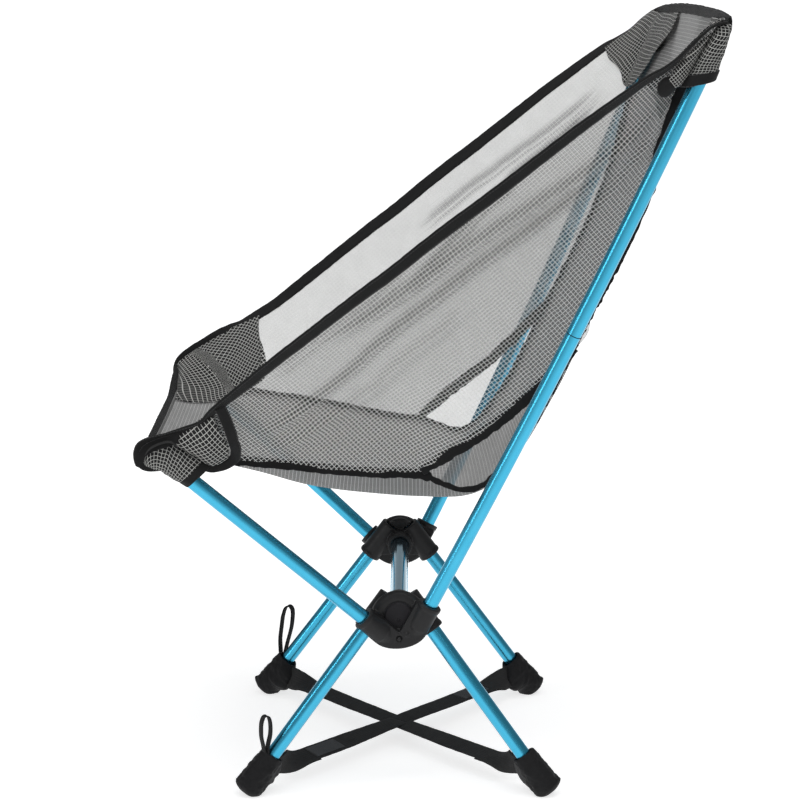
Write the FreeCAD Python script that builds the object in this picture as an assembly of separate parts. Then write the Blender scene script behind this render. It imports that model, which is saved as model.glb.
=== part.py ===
import FreeCAD, Part
import math
import os

V = FreeCAD.Vector

# ---------------------------------------------------------------- driving dimensions (mm)
TUBE_R = 6.25            # all frame tubes
TUBE_IR = 5.25
BAR_R = 7.8              # crossbar
BAR_IR = 6.6
Y_SHIFT = -22.9          # hub centre stands this far behind (+) or ahead (-) of the box centre
PANEL_T = 1.6            # fabric stand-in thickness
TAPE_W = 10.0            # seam and edge binding width
TAPE_T = 2.4
STRAP_W = 20.0
STRAP_T = 1.4

# left side (+X); the right side is its mirror. Y runs front (-) to rear (+), hub centre at Y 0
POLE_APEX = (157.0, 4.8, 122.0)
FRONT_TIP = (211.4, -201.0, 304.6)
REAR_TIP = (245.0, 244.0, 623.0)
REAR_BOW = 4.7
REAR_JOINT = 0.545       # where the rear pole's two segments meet, as a share of its length
LEG_APEX = (140.0, 0.0, 175.2)
FOOT_F = (162.4, -120.8, 12.0)
FOOT_R = (161.3, 119.1, 12.0)
HUB_Z = 150.0
LEG_TOP = 14.0           # leg end below the leg apex, along the leg
LEG_BORE_R = 6.62
LEG_MOUTH = 48.0
POLE_START = 19.0
POLE_MOUTH = 46.5

# left edge curves of the seat
BINDING = [(222, -148, 334), (226, -121.5, 356), (230, -97.5, 376), (233, -73.5, 395), (236, -49.5, 414),
           (239, -26.5, 432), (241, -2.5, 450), (244, 20.5, 469), (247, 43.5, 487), (249, 67.5, 505),
           (251, 90.5, 523), (252, 113.5, 541), (253, 136.5, 559), (254, 159.5, 576), (255, 181.5, 592),
           (255, 201.0, 606)]
SEAM_A = [(168, -133, 284.5), (165, -113.5, 282), (161, -89.5, 279), (157, -64.5, 275.5), (150, -40.5, 272),
          (140, -15.5, 268.5), (133, 2, 267), (131, 19, 265.5)]
SEAM_B = [(133, 19, 269), (147, 38.5, 284), (157, 58.5, 298), (161, 76.5, 311), (164, 92.5, 325),
          (167, 109.5, 341), (169, 126, 358), (170, 142, 376), (171, 153, 390)]
SEAM_C = [(136, 34, 259.5), (139, 51, 254), (144, 67, 257), (151, 81, 268), (159, 98, 288), (165, 111, 308),
          (168, 122, 329), (170, 132, 348), (171, 141, 366), (171.5, 153, 390)]
SEAM_D = [(172, 158, 405), (177, 174.5, 452), (186, 193, 505), (197, 212, 560), (207, 227, 605), (212, 238, 632)]
CENTRE = [(0, -205, 288), (0, -190, 273), (0, -165, 261), (0, -140, 253.5), (0, -116, 247), (0, -83, 236),
          (0, -49, 228.8), (0, -9, 223.4), (0, 18, 222.0), (0, 42, 223.8), (0, 62, 230), (0, 82, 242),
          (0, 103, 264), (0, 120, 290), (0, 138, 326), (0, 152, 359), (0, 165.5, 391), (0, 184, 436),
          (0, 203, 482), (0, 219, 526), (0, 231, 572), (0, 239, 612), (0, 243, 638)]
FRONT_CORNER = [(184, -203, 296), (178, -178, 291), (172, -152, 287)]


def vec(p):
    return V(p[0], p[1], p[2])


def lerp(a, b, t):
    return a + (b - a) * t


def mirror(shape):
    return shape.mirror(V(0, 0, 0), V(1, 0, 0))


def along(curve, n):
    """n+1 points spread evenly along a polyline."""
    pts = [vec(p) for p in curve]
    d = [0.0]
    for a, b in zip(pts, pts[1:]):
        d.append(d[-1] + (b - a).Length)
    out = []
    k = 0
    for i in range(n + 1):
        s = d[-1] * i / n
        while k < len(d) - 2 and d[k + 1] < s:
            k += 1
        out.append(lerp(pts[k], pts[k + 1], (s - d[k]) / (d[k + 1] - d[k])))
    for _ in range(2):
        out = [out[0]] + [out[i - 1] * 0.25 + out[i] * 0.5 + out[i + 1] * 0.25 for i in range(1, n)] + [out[-1]]
    return out


def unit(v):
    return V(v).normalize()


def solid_from(points, tris):
    shape = Part.Shape()
    shape.makeShapeFromMesh((points, tris), 0.0005)
    solid = Part.Solid(Part.Shell(shape.Faces))
    if solid.Volume < 0:
        solid.reverse()
    return solid


def sheet(grid, t):
    """A closed sheet of thickness t about a grid of points."""
    n, m = len(grid), len(grid[0])
    pts = []
    for side in (0.5, -0.5):
        for i in range(n):
            for j in range(m):
                a = grid[min(i + 1, n - 1)][j] - grid[max(i - 1, 0)][j]
                b = grid[i][min(j + 1, m - 1)] - grid[i][max(j - 1, 0)]
                pts.append(grid[i][j] + unit(a.cross(b)) * (t * side))
    k = n * m
    tris = []

    def at(i, j, low):
        return i * m + j + (k if low else 0)

    for i in range(n - 1):
        for j in range(m - 1):
            tris += [(at(i, j, 0), at(i + 1, j, 0), at(i + 1, j + 1, 0)), (at(i, j, 0), at(i + 1, j + 1, 0), at(i, j + 1, 0))]
            tris += [(at(i, j, 1), at(i + 1, j + 1, 1), at(i + 1, j, 1)), (at(i, j, 1), at(i, j + 1, 1), at(i + 1, j + 1, 1))]
    rim = [(i, 0) for i in range(n)] + [(n - 1, j) for j in range(1, m)] + [(i, m - 1) for i in range(n - 2, -1, -1)] + [(0, j) for j in range(m - 2, 0, -1)]
    for a, b in zip(rim, rim[1:] + rim[:1]):
        tris += [(at(*a, 0), at(*a, 1), at(*b, 1)), (at(*a, 0), at(*b, 1), at(*b, 0))]
    return solid_from(pts, tris)


def ribbon(path, across, w, t):
    """A flat strip of width w and thickness t along a path; across holds the width directions."""
    n = len(path)
    pts = []
    for i in range(n):
        tan = unit(path[min(i + 1, n - 1)] - path[max(i - 1, 0)])
        a = across[i] - tan * across[i].dot(tan)
        a = unit(a)
        q = unit(tan.cross(a))
        for sa, sq in ((1, 1), (-1, 1), (-1, -1), (1, -1)):
            pts.append(path[i] + a * (sa * w / 2) + q * (sq * t / 2))
    tris = [(0, 1, 2), (0, 2, 3)]
    e = 4 * (n - 1)
    tris += [(e, e + 2, e + 1), (e, e + 3, e + 2)]
    for i in range(n - 1):
        for c in range(4):
            a, b = 4 * i + c, 4 * i + (c + 1) % 4
            tris += [(a, a + 4, b + 4), (a, b + 4, b)]
    return solid_from(pts, tris)


def loft_quads(sections):
    """A closed solid through matching four-cornered sections."""
    pts = [vec(p) for s in sections for p in s]
    n = len(sections)
    e = 4 * (n - 1)
    tris = [(0, 1, 2), (0, 2, 3), (e, e + 2, e + 1), (e, e + 3, e + 2)]
    for i in range(n - 1):
        for c in range(4):
            a, b = 4 * i + c, 4 * i + (c + 1) % 4
            tris += [(a, a + 4, b + 4), (a, b + 4, b)]
    return solid_from(pts, tris)


def rod(a, b, r):
    return Part.makeCylinder(r, (b - a).Length, a, b - a)


def tube(a, b, r, ri):
    d = unit(b - a)
    return rod(a, b, r).cut(rod(a - d, b + d, ri))


def arc_tube(pts, r, ri):
    """A tube along the arc through three points."""
    edge = Part.Arc(*pts).toShape()
    wire = Part.Wire([edge])
    d = edge.tangentAt(edge.FirstParameter)

    def pipe(rad):
        circle = Part.Wire([Part.makeCircle(rad, pts[0], d)])
        return wire.makePipeShell([circle], True, True)

    outer = pipe(r)
    return outer.cut(pipe(ri)) if ri else outer


# ---------------------------------------------------------------- frame geometry
P0 = vec(POLE_APEX)
S1 = vec(FRONT_TIP)
T1 = vec(REAR_TIP)
L0 = vec(LEG_APEX)
FEET = {"front": vec(FOOT_F), "rear": vec(FOOT_R)}
front_dir = unit(S1 - P0)
rear_dir = unit(T1 - P0)
bow_dir = unit(V(0, 1, 0) - rear_dir * rear_dir.y)


def rear_at(t):
    return lerp(P0, T1, t) + bow_dir * (4 * REAR_BOW * t * (1 - t))


nodes = {}


def both(name, shape):
    nodes[name + "_left"] = shape
    nodes[name + "_right"] = mirror(shape)


# hub: a two-layer moulding, legs in the inner layer and poles in the outer one
rear_start_dir = unit(rear_at(0.06) - rear_at(0.0))
leg_dirs = {k: unit(f - L0) for k, f in FEET.items()}
HOLLOW_R = 12.2          # the arch stands round this, and the cap fills it


def prism(points, x0, x1):
    """A solid from a (y, z) outline, between two x positions."""
    face = Part.Face(Part.makePolygon([V(x0, y, z) for y, z in points + points[:1]]))
    return face.extrude(V(x1 - x0, 0, 0))


# inner layer: a web between the two leg sockets, a rounded crown and the crossbar's collar
body = prism([(-26, 137), (26, 137), (20, 152), (9, 168), (-9, 168), (-20, 152)], 140.0, 153.0)
body = body.fuse(Part.makeCylinder(13.5, 14.0, V(143.0, 0, 157.4), V(1, 0, 0)))
arch = Part.makeTorus(17.8, 5.6, V(152.0, 0, 148.6), V(1, 0, 0)).cut(Part.makeBox(40, 80, 60, V(130, -40, 90.5)))
body = body.fuse(arch)
body = body.fuse(Part.makeCylinder(17.0, 10.0, V(146.0, 0, 151.0), V(1, 0, 0)))
for k, d in leg_dirs.items():
    body = body.fuse(rod(L0 + d * 12.5, L0 + d * LEG_MOUTH, 9.5))
    body = body.fuse(rod(L0 + d * (LEG_MOUTH - 3.5), L0 + d * LEG_MOUTH, 10.1))
body = body.fuse(Part.makeCylinder(11.2, 23.0, V(119.0, 0, HUB_Z), V(1, 0, 0)))
# outer layer: the two pole sockets on a round-bottomed plate
ARM = 9.5                # half width of a pole socket
uf, ur = (-0.748, 0.663), (0.431, 0.902)


def on_arm(u, d, side):
    """A (y, z) point on a pole socket's edge; side +1 is towards the other socket."""
    n = (u[1], -u[0]) if u[0] < 0 else (-u[1], u[0])
    return (P0.y + u[0] * d + n[0] * ARM * side, P0.z + u[1] * d + n[1] * ARM * side)


pa, pb = on_arm(uf, 24, -1), on_arm(ur, 22, -1)
ca, cb = (pa[0] - uf[0] * 14.7, pa[1] - uf[1] * 14.7), (pb[0] - ur[0] * 13.9, pb[1] - ur[1] * 13.9)
belly = []
for i in range(13):
    t = i / 12
    w = ((1 - t) ** 3, 3 * t * (1 - t) ** 2, 3 * t * t * (1 - t), t ** 3)
    belly.append(tuple(sum(wk * p[a] for wk, p in zip(w, (pa, ca, cb, pb))) for a in (0, 1)))
notch = (P0.y + (uf[0] + ur[0]) * 13.3, P0.z + (uf[1] + ur[1]) * 13.3 - 3.3)
outline = [on_arm(uf, POLE_MOUTH - 4, -1)] + belly + [on_arm(ur, POLE_MOUTH - 4, -1), on_arm(ur, POLE_MOUTH - 4, 1), notch,
                                                  on_arm(uf, POLE_MOUTH - 4, 1)]
body = body.fuse(prism(outline, 151.5, 166.5))
for d in (front_dir, rear_start_dir):
    body = body.fuse(rod(P0 + d * 24, P0 + d * POLE_MOUTH, ARM))
    body = body.fuse(Part.makeCone(3.0, ARM, 15.0, P0 + d * 10, d))
    body = body.fuse(rod(P0 + d * (POLE_MOUTH - 3.5), P0 + d * POLE_MOUTH, ARM + 0.6))
body = body.fuse(Part.makeSphere(2.0, V(166.2, 6.2, 138.0)))
# bores: crossbar, legs, poles, cap seat, pin
solid_body = body
body = body.cut(Part.makeCylinder(BAR_R, 16.0, V(118.0, 0, HUB_Z), V(1, 0, 0)))
for d in leg_dirs.values():
    body = body.cut(rod(L0 + d * (LEG_TOP - 1.2), L0 + d * (LEG_MOUTH + 6), LEG_BORE_R))
for d in (front_dir, rear_start_dir):
    body = body.cut(rod(P0 + d * POLE_START, P0 + d * (POLE_MOUTH + 6), TUBE_R + 0.02))
PIN = (0.3, 134.2)
body = body.cut(Part.makeCylinder(1.9, 30.0, V(156.0, PIN[0], PIN[1]), V(1, 0, 0)))
both("hub_body", body)
cap = Part.makeCylinder(HOLLOW_R, 3.5, V(154.5, 0, 151.0), V(1, 0, 0))
cap = cap.fuse(Part.makeCone(HOLLOW_R, HOLLOW_R - 1.4, 1.4, V(158.0, 0, 151.0), V(1, 0, 0)))
cap = cap.fuse(Part.makeSphere(1.3, V(159.2, 0, 148.5)))
cap = cap.cut(solid_body)
cap = cap.cut(prism(outline, 150.0, 180.0))
both("hub_cap", max(cap.Solids, key=lambda s: s.Volume))
pin = Part.makeCylinder(1.9, 11.0, V(156.0, PIN[0], PIN[1]), V(1, 0, 0)).fuse(Part.makeSphere(1.9, V(167.0, PIN[0], PIN[1])))
both("hub_pin", pin)

bar = Part.makeCylinder(BAR_R, 267.0, V(-133.5, 0, HUB_Z), V(1, 0, 0))
nodes["crossbar"] = bar.cut(Part.makeCylinder(BAR_IR, 269.0, V(-134.5, 0, HUB_Z), V(1, 0, 0)))

# front poles: one straight tube each, with a tip cap
f0 = P0 + front_dir * (POLE_START + 0.2)
f1 = S1 - front_dir * 5.0
both("front_pole", tube(f0, f1, TUBE_R, TUBE_IR))


def tip_cap(end, d):
    plug = rod(end - d * 9.0, end, TUBE_IR)
    head = rod(end, end + d * 3.0, TUBE_R).fuse(Part.makeSphere(TUBE_R, end + d * 3.0))
    return plug.fuse(head)


both("front_pole_tip", tip_cap(f1, front_dir))

# rear poles: two segments on an inner ferrule, bowed by the taut seat
len_r = (T1 - P0).Length
t0 = (POLE_START + 0.2) / len_r
t1 = 1.0 - 5.0 / len_r
lower = arc_tube([rear_at(t0), rear_at((t0 + REAR_JOINT) / 2), rear_at(REAR_JOINT)], TUBE_R, TUBE_IR)
upper = arc_tube([rear_at(REAR_JOINT), rear_at((t1 + REAR_JOINT) / 2), rear_at(t1)], TUBE_R, TUBE_IR)
both("rear_pole_lower", lower)
both("rear_pole_upper", upper)
fa, fb = rear_at(REAR_JOINT - 30.0 / len_r), rear_at(REAR_JOINT + 30.0 / len_r)
both("rear_ferrule", tube(fa, fb, 5.1, 4.2))
both("rear_pole_tip", tip_cap(rear_at(t1), unit(rear_at(1.0) - rear_at(0.97))))
cord_a = rear_at(t0 + 0.01)
both("rear_pole_cord", arc_tube([cord_a, rear_at(0.5), rear_at(t1 - 10.5 / len_r)], 1.25, 0))
both("front_pole_cord", rod(f0 + front_dir * 2.0, f1 - front_dir * 9.5, 1.25))

# legs, rubber feet, fabric boots
GROUND = Part.makeBox(800, 800, 60, V(-400, -400, -60))


def envelope(e, d, r0, r1, top, floor):
    s = Part.makeSphere(r0, e).fuse(Part.makeCone(r0, r1, top, e, d))
    return s.cut(Part.makeBox(800, 800, 60, V(-400, -400, -60 + floor)))


for k in ("front", "rear"):
    e = FEET[k]
    d = unit(L0 - e)
    top = (L0 - e).Length - LEG_TOP
    leg = tube(e, e + d * top, TUBE_R, TUBE_IR)
    both(k + "_leg", leg)
    inner = envelope(e, d, 11.6, 7.6, 22.5, 1.3)
    bore = rod(e, e + d * 40, TUBE_R)
    foot = inner.cut(bore)
    both(k + "_foot", foot)
    boot = envelope(e, d, 13.3, 8.7, 25.0, 0.0).cut(inner).cut(bore)
    both(k + "_boot", boot)
    both(k + "_leg_cord", rod(e + d * 2.0, e + d * (top - 1.0), 1.25))

# pull loops of narrow tape that stand on the front boots
LOOP_W, LOOP_H, LOOP_T, LOOP_D = 11.0, 37.0, 1.2, 5.0
lx, ly, lz = 165.5, -107.5, 33.5


def racetrack(w, h, depth):
    r = w / 2
    body = Part.makeBox(depth, w, h - 2 * r, V(lx - depth / 2, ly - r, lz + r))
    for zz in (lz + r, lz + h - r):
        body = body.fuse(Part.makeCylinder(r, depth, V(lx - depth / 2, ly, zz), V(1, 0, 0)))
    return body


inner = racetrack(LOOP_W - 2 * LOOP_T, LOOP_H - 2 * LOOP_T, 2 * LOOP_D)
inner.translate(V(0, 0, LOOP_T))
loop = racetrack(LOOP_W, LOOP_H, LOOP_D).cut(inner)
clear = envelope(FEET["front"], unit(L0 - FEET["front"]), 13.35, 8.75, 25.0, 0.0)
loop = loop.cut(clear).cut(rod(FEET["front"], L0, TUBE_R + 0.3))
both("pull_loop", max(loop.Solids, key=lambda s: s.Volume))

# base webbing: two straps that cross above the ground
C = V(0, -0.8, 17.2)


def arm_end(e):
    d = V(C.x - e.x, C.y - e.y, 0).normalize()
    return V(e.x, e.y, 19.0) + d * 16.4


fl, rl = arm_end(FEET["front"]), arm_end(FEET["rear"])


def mirrored(p):
    return V(-p.x, p.y, p.z)


for name, a, b, lift in (("strap_upper", fl, mirrored(rl), 0.75), ("strap_lower", mirrored(fl), rl, -0.75)):
    mid = V(C.x, C.y, C.z + lift)
    path = [a, lerp(a, mid, 0.5), lerp(a, mid, 0.9), mid, lerp(mid, b, 0.1), lerp(mid, b, 0.5), b]
    side = []
    for i in range(len(path)):
        tan = path[min(i + 1, 6)] - path[max(i - 1, 0)]
        side.append(unit(V(-tan.y, tan.x, 0)))
    nodes[name] = ribbon(path, side, STRAP_W, STRAP_T)

# ---------------------------------------------------------------- seat
N = 30
edge = along(FRONT_CORNER + SEAM_A[:-1] + [SEAM_A[-1]] + SEAM_C + SEAM_D, N)
mid = along(CENTRE, N)


def across_centre(e, m, t):
    """Point on the centre panel at t from -1 to 1 between its two edges."""
    u = abs(t)
    p = V(e.x * t, 0, 0)
    q = 0.25 * u + 0.75 * u * u
    p.y = m.y + (e.y - m.y) * q
    p.z = m.z + (e.z - m.z) * q
    return p


grid = []
M = 10
for i in range(N + 1):
    e, m_ = edge[i], mid[i]
    lim = 1.0 - (TAPE_W / 2 + 0.6) / e.x
    grid.append([across_centre(e, m_, lim * j / M) for j in range(-M, M + 1)])
hem_f = [across_centre(edge[0], mid[0], 0.985 * j / M) for j in range(-M, M + 1)]
hem_t = [across_centre(edge[N], mid[N], 0.99 * j / M) for j in range(-M, M + 1)]
first = [lerp(a, b, 0.42) for a, b in zip(grid[0], grid[1])]
last = [lerp(a, b, 0.62) for a, b in zip(grid[N - 1], grid[N])]
nodes["seat_centre_panel"] = sheet([first] + grid[1:N] + [last], PANEL_T)
nodes["front_hem"] = ribbon(hem_f, [lerp(grid[0][j], grid[1][j], 1.0) - grid[0][j] for j in range(2 * M + 1)], TAPE_W, TAPE_T)
nodes["top_hem"] = ribbon(hem_t, [grid[N][j] - grid[N - 1][j] for j in range(2 * M + 1)], 12.0, TAPE_T)

# seams between the centre panel and the side panels
K = 26
seam = along(SEAM_A + SEAM_C + SEAM_D[:-1] + [(209, 231.5, 617)], K)
ins = []
for p in seam:
    k = min(range(N + 1), key=lambda i: (edge[i] - p).Length)
    ins.append(across_centre(edge[k], mid[k], 0.9) - edge[k])
both("seam_tape", ribbon(seam, ins, TAPE_W, TAPE_T))

# side panel, between the upper binding and seams A, B and D
K = 24
low = along(SEAM_A + SEAM_B + SEAM_D[:-1] + [(205, 223, 592)], K)
high = along(BINDING, K)
rows = []
for a, b in zip(low, high):
    L = (b - a).Length
    s0, s1 = 6.4 / L, 1.0 - 6.4 / L
    bulge = V(1, 0.35, -0.4)
    row = []
    for j in range(9):
        t = s0 + (s1 - s0) * j / 8
        row.append(lerp(a, b, t) - bulge * (4.0 * 4 * t * (1 - t)))
    rows.append(row)
side_panel = sheet(rows, PANEL_T)
both("seat_side_panel", side_panel)
both("top_binding", ribbon(high, [b - a for a, b in zip(low, high)], TAPE_W, TAPE_T))
vent = along(SEAM_B[1:-3] + [(168.7, 123, 355)], 10)
vent_in = []
for p in vent:
    k = min(range(len(low)), key=lambda i: (low[i] - p).Length)
    vent_in.append(high[k] - low[k])
both("vent_tape", ribbon(vent, vent_in, 9.0, TAPE_T))

# corner pockets: open below each pole tip
def slot(end, d, back, cap_r):
    """Room for a pole end and for its way straight down out of the pocket."""
    horiz = V(d.x, d.y, 0).normalize()
    across = V(-horiz.y, horiz.x, 0)
    w = 2 * (TUBE_R + 0.7)
    a = end - d * back
    up = unit(V(0, 0, 1) - d * d.z)
    tip = end + d * cap_r + up * (TUBE_R + 1.2)
    nose = end + d * 3.0 + horiz * (TUBE_R + 1.2)
    pts = [a + up * (TUBE_R + 1.2), tip, V(nose.x, nose.y, tip.z), V(nose.x, nose.y, tip.z - 120), V(a.x, a.y, a.z - 120)]
    pts = [p - across * (w / 2) for p in pts]
    return Part.Face(Part.makePolygon(pts + [pts[0]])).extrude(across * w)


front_pocket = loft_quads([
    [(177, -146.5, 274), (188, -146.5, 272), (229, -146.5, 326), (216, -146.5, 330)],
    [(188, -168, 264), (220, -168, 264), (231, -168, 317), (208, -168, 321)],
    [(196, -211, 286), (228, -211, 286), (228, -211, 315), (196, -211, 317)]])
front_pocket = front_pocket.cut(slot(f1, front_dir, 80.0, 9.9))
both("front_pocket", max(front_pocket.Solids, key=lambda s: s.Volume))
top_pocket = loft_quads([
    [(226, 210, 588), (262, 210, 588), (262, 244, 588), (226, 244, 588)],
    [(225, 226, 643.5), (262, 226, 643.5), (262, 257, 643.5), (225, 257, 643.5)]])
top_pocket = top_pocket.cut(slot(rear_at(t1), unit(rear_at(1.0) - rear_at(0.94)), 80.0, 9.9))
both("top_pocket", max(top_pocket.Solids, key=lambda s: s.Volume))

# ---------------------------------------------------------------- export
os.makedirs("parts", exist_ok=True)
for name, shape in nodes.items():
    s = shape.copy()
    s.translate(V(0, Y_SHIFT, 0))
    s.exportStep("parts/" + name + ".step")
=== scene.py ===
import bpy
import math
import numpy as np
from mathutils import Vector, Matrix, noise


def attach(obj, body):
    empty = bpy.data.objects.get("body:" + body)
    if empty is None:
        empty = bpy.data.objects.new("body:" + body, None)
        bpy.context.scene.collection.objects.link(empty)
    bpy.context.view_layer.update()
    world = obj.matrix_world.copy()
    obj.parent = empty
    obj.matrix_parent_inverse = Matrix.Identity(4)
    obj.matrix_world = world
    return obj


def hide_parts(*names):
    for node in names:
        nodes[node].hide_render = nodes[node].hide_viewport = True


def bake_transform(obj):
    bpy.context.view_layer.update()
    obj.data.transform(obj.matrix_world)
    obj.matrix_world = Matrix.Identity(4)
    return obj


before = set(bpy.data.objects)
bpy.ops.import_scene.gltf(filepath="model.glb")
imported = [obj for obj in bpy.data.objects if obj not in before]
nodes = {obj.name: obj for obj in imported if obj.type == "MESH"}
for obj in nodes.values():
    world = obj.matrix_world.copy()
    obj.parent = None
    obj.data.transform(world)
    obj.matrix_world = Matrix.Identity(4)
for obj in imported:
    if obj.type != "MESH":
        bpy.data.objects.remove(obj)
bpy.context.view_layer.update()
scene = bpy.context.scene

# ------------------------------------------------------------------ camera
Y_SHIFT = -22.9  # mm, hub centre to row frame
cam_data = bpy.data.cameras.new("camera")
cam = bpy.data.objects.new("camera", cam_data)
scene.collection.objects.link(cam)
PITCH, YAW = 0.1666577, -0.0031328
cam_data.sensor_width = 36.0
cam_data.lens = 2996.003 * 36.0 / 800.0
cam_data.clip_start, cam_data.clip_end = 0.05, 100.0
cam.location = (2.5677333, -0.0144, 0.7377498)
fwd = Vector((-math.cos(PITCH) * math.cos(YAW), math.cos(PITCH) * math.sin(YAW), -math.sin(PITCH)))
cam.rotation_euler = fwd.to_track_quat("-Z", "Y").to_euler()
scene.camera = cam


# ------------------------------------------------------------------ geometry helpers (mm, hub centred, left side +X)
def A(pts):
    return np.array(pts, float)


def unit(v):
    v = np.asarray(v, float)
    n = np.linalg.norm(v, axis=-1, keepdims=True)
    return v / np.maximum(n, 1e-12)


def resample(curve, n, passes=2):
    """n+1 points spread evenly along a smooth curve through the given points."""
    p = A(curve)
    q = np.vstack([2 * p[0] - p[1], p, 2 * p[-1] - p[-2]])
    fine = []
    for i in range(1, len(q) - 2):
        a, b, c, d = q[i - 1], q[i], q[i + 1], q[i + 2]
        for k in range(12):
            t = k / 12.0
            fine.append(0.5 * (2 * b + (c - a) * t + (2 * a - 5 * b + 4 * c - d) * t * t + (3 * b - a - 3 * c + d) * t ** 3))
    fine.append(q[-2])
    fine = A(fine)
    for _ in range(passes * 3):
        fine[1:-1] = 0.25 * fine[:-2] + 0.5 * fine[1:-1] + 0.25 * fine[2:]
    s = np.r_[0, np.cumsum(np.linalg.norm(np.diff(fine, axis=0), axis=1))]
    t = np.linspace(0, s[-1], n + 1)
    return np.stack([np.interp(t, s, fine[:, k]) for k in range(fine.shape[1])], axis=1)


def length_of(curve):
    return float(np.linalg.norm(np.diff(A(curve), axis=0), axis=1).sum())


def flip(p):
    q = np.array(p, float)
    q[..., 0] *= -1
    return q


def rnd(i, j=0, k=0):
    """A steady number from -1 to 1."""
    return noise.noise(Vector((i * 1.37 + 3.1, j * 1.91 + 7.7, k * 1.13 + 1.9))) * 1.6


def make_mesh(name, verts_mm, faces, mat, uvs=None, smooth=True):
    v = A(verts_mm).reshape(-1, 3).copy()
    v[:, 1] += Y_SHIFT
    v *= 0.001
    me = bpy.data.meshes.new(name)
    me.from_pydata(v.tolist(), [], [tuple(f) for f in faces])
    me.validate(clean_customdata=False)
    me.update()
    if uvs is not None:
        layer = me.uv_layers.new(name="cloth")
        uvs = A(uvs)
        idx = np.zeros(len(me.loops), int)
        me.loops.foreach_get("vertex_index", idx)
        layer.data.foreach_set("uv", uvs[idx].astype(np.float32).ravel())
    me.materials.append(mat)
    if smooth:
        me.polygons.foreach_set("use_smooth", [True] * len(me.polygons))
    ob = bpy.data.objects.new(name, me)
    scene.collection.objects.link(ob)
    return ob


def grid_faces(n, m, off=0, reverse=False, wrap=False):
    out = []
    mm = m if wrap else m - 1
    for i in range(n - 1):
        for j in range(mm):
            a, b = off + i * m + j, off + i * m + (j + 1) % m
            c, d = off + (i + 1) * m + (j + 1) % m, off + (i + 1) * m + j
            out.append((a, b, c, d) if reverse else (a, d, c, b))
    return out


def normals_of(g):
    gu = np.gradient(g, axis=0)
    gv = np.gradient(g, axis=1)
    return unit(np.cross(gu, gv))


def single(name, g, uv, mat, mirrored=False):
    """One layer of sheer cloth."""
    n, m = g.shape[:2]
    p = flip(g) if mirrored else g
    return make_mesh(name, p.reshape(-1, 3), grid_faces(n, m, reverse=mirrored), mat, uv.reshape(-1, 2))


def shell(name, g, uv, t, mat, mirrored=False):
    """Cloth of real thickness about a grid of points."""
    n, m = g.shape[:2]
    nn = normals_of(g)
    top, low = g + nn * t / 2, g - nn * t / 2
    if mirrored:
        top, low = flip(top), flip(low)
    k = n * m
    faces = grid_faces(n, m, 0, mirrored) + grid_faces(n, m, k, not mirrored)
    rim = [i * m for i in range(n)] + [(n - 1) * m + j for j in range(1, m)] + [i * m + m - 1 for i in range(n - 2, -1, -1)] + [j for j in range(m - 2, 0, -1)]
    for a, b in zip(rim, rim[1:] + rim[:1]):
        f = (a, a + k, b + k, b)
        faces.append(f[::-1] if mirrored else f)
    uv2 = np.vstack([uv.reshape(-1, 2)] * 2)
    return make_mesh(name, np.vstack([top.reshape(-1, 3), low.reshape(-1, 3)]), faces, mat, uv2)


def tape(name, path, across, w, t, mat, mirrored=False, wob=0.25, seed=0, curl=0.0, closed_w=None):
    """A flat woven strip, soft at its edges, along a path; across holds the width directions. UV: u along, v across, in mm."""
    path = A(path)
    n = len(path)
    tan = unit(np.gradient(path, axis=0))
    ac = A(across)
    ac = unit(ac - tan * (ac * tan).sum(1, keepdims=True))
    nrm = unit(np.cross(tan, ac))
    s = np.r_[0, np.cumsum(np.linalg.norm(np.diff(path, axis=0), axis=1))]
    prof = []
    half = [(-1.0, 0.0), (-0.97, 0.55), (-0.86, 0.9), (-0.5, 1.0), (0.0, 1.0), (0.5, 1.0), (0.86, 0.9), (0.97, 0.55), (1.0, 0.0)]
    for a, b in half:
        prof.append((a, b))
    for a, b in half[::-1][1:-1]:
        prof.append((a, -b))
    m = len(prof)
    verts, uvs = [], []
    ws = np.full(n, w) if closed_w is None else np.asarray(closed_w, float)
    for i in range(n):
        e1 = wob * rnd(s[i] / 9.0, seed)
        e2 = wob * rnd(s[i] / 7.0, seed + 5)
        e3 = wob * 0.8 * rnd(s[i] / 13.0, seed + 9)
        for a, b in prof:
            side = a * ws[i] / 2 + (e1 if a > 0 else -e2) * abs(a)
            up = b * t / 2 + e3 + curl * (a * a - 0.3)
            verts.append(path[i] + ac[i] * side + nrm[i] * up)
            uvs.append((s[i], a * ws[i] / 2 + (40 if b < 0 else 0)))
    verts = A(verts)
    if mirrored:
        verts = flip(verts)
    faces = grid_faces(n, m, 0, mirrored, wrap=True)
    cap0 = list(range(m))
    cap1 = [(n - 1) * m + j for j in range(m)]
    faces.append(cap0 if not mirrored else cap0[::-1])
    faces.append(cap1[::-1] if not mirrored else cap1)
    return make_mesh(name, verts, faces, mat, A(uvs))


def fix_normals(ob):
    import bmesh

    bm = bmesh.new()
    bm.from_mesh(ob.data)
    bmesh.ops.recalc_face_normals(bm, faces=bm.faces)
    bm.to_mesh(ob.data)
    bm.free()
    return ob


def coons(top, bottom, left, right, n, m):
    """A patch between four edges; i runs from left to right and j from top to bottom."""
    T, B = resample(top, n - 1, 0), resample(bottom, n - 1, 0)
    L, R = resample(left, m - 1, 0), resample(right, m - 1, 0)
    u = np.linspace(0, 1, n)[:, None, None]
    v = np.linspace(0, 1, m)[None, :, None]
    g = (1 - v) * T[:, None] + v * B[:, None] + (1 - u) * L[None] + u * R[None]
    g -= (1 - u) * (1 - v) * T[0] + u * (1 - v) * T[-1] + (1 - u) * v * B[0] + u * v * B[-1]
    return g


# ------------------------------------------------------------------ materials
def material(name):
    m = bpy.data.materials.new(name)
    m.use_nodes = True
    nt = m.node_tree
    return m, nt, nt.nodes["Principled BSDF"]


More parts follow.
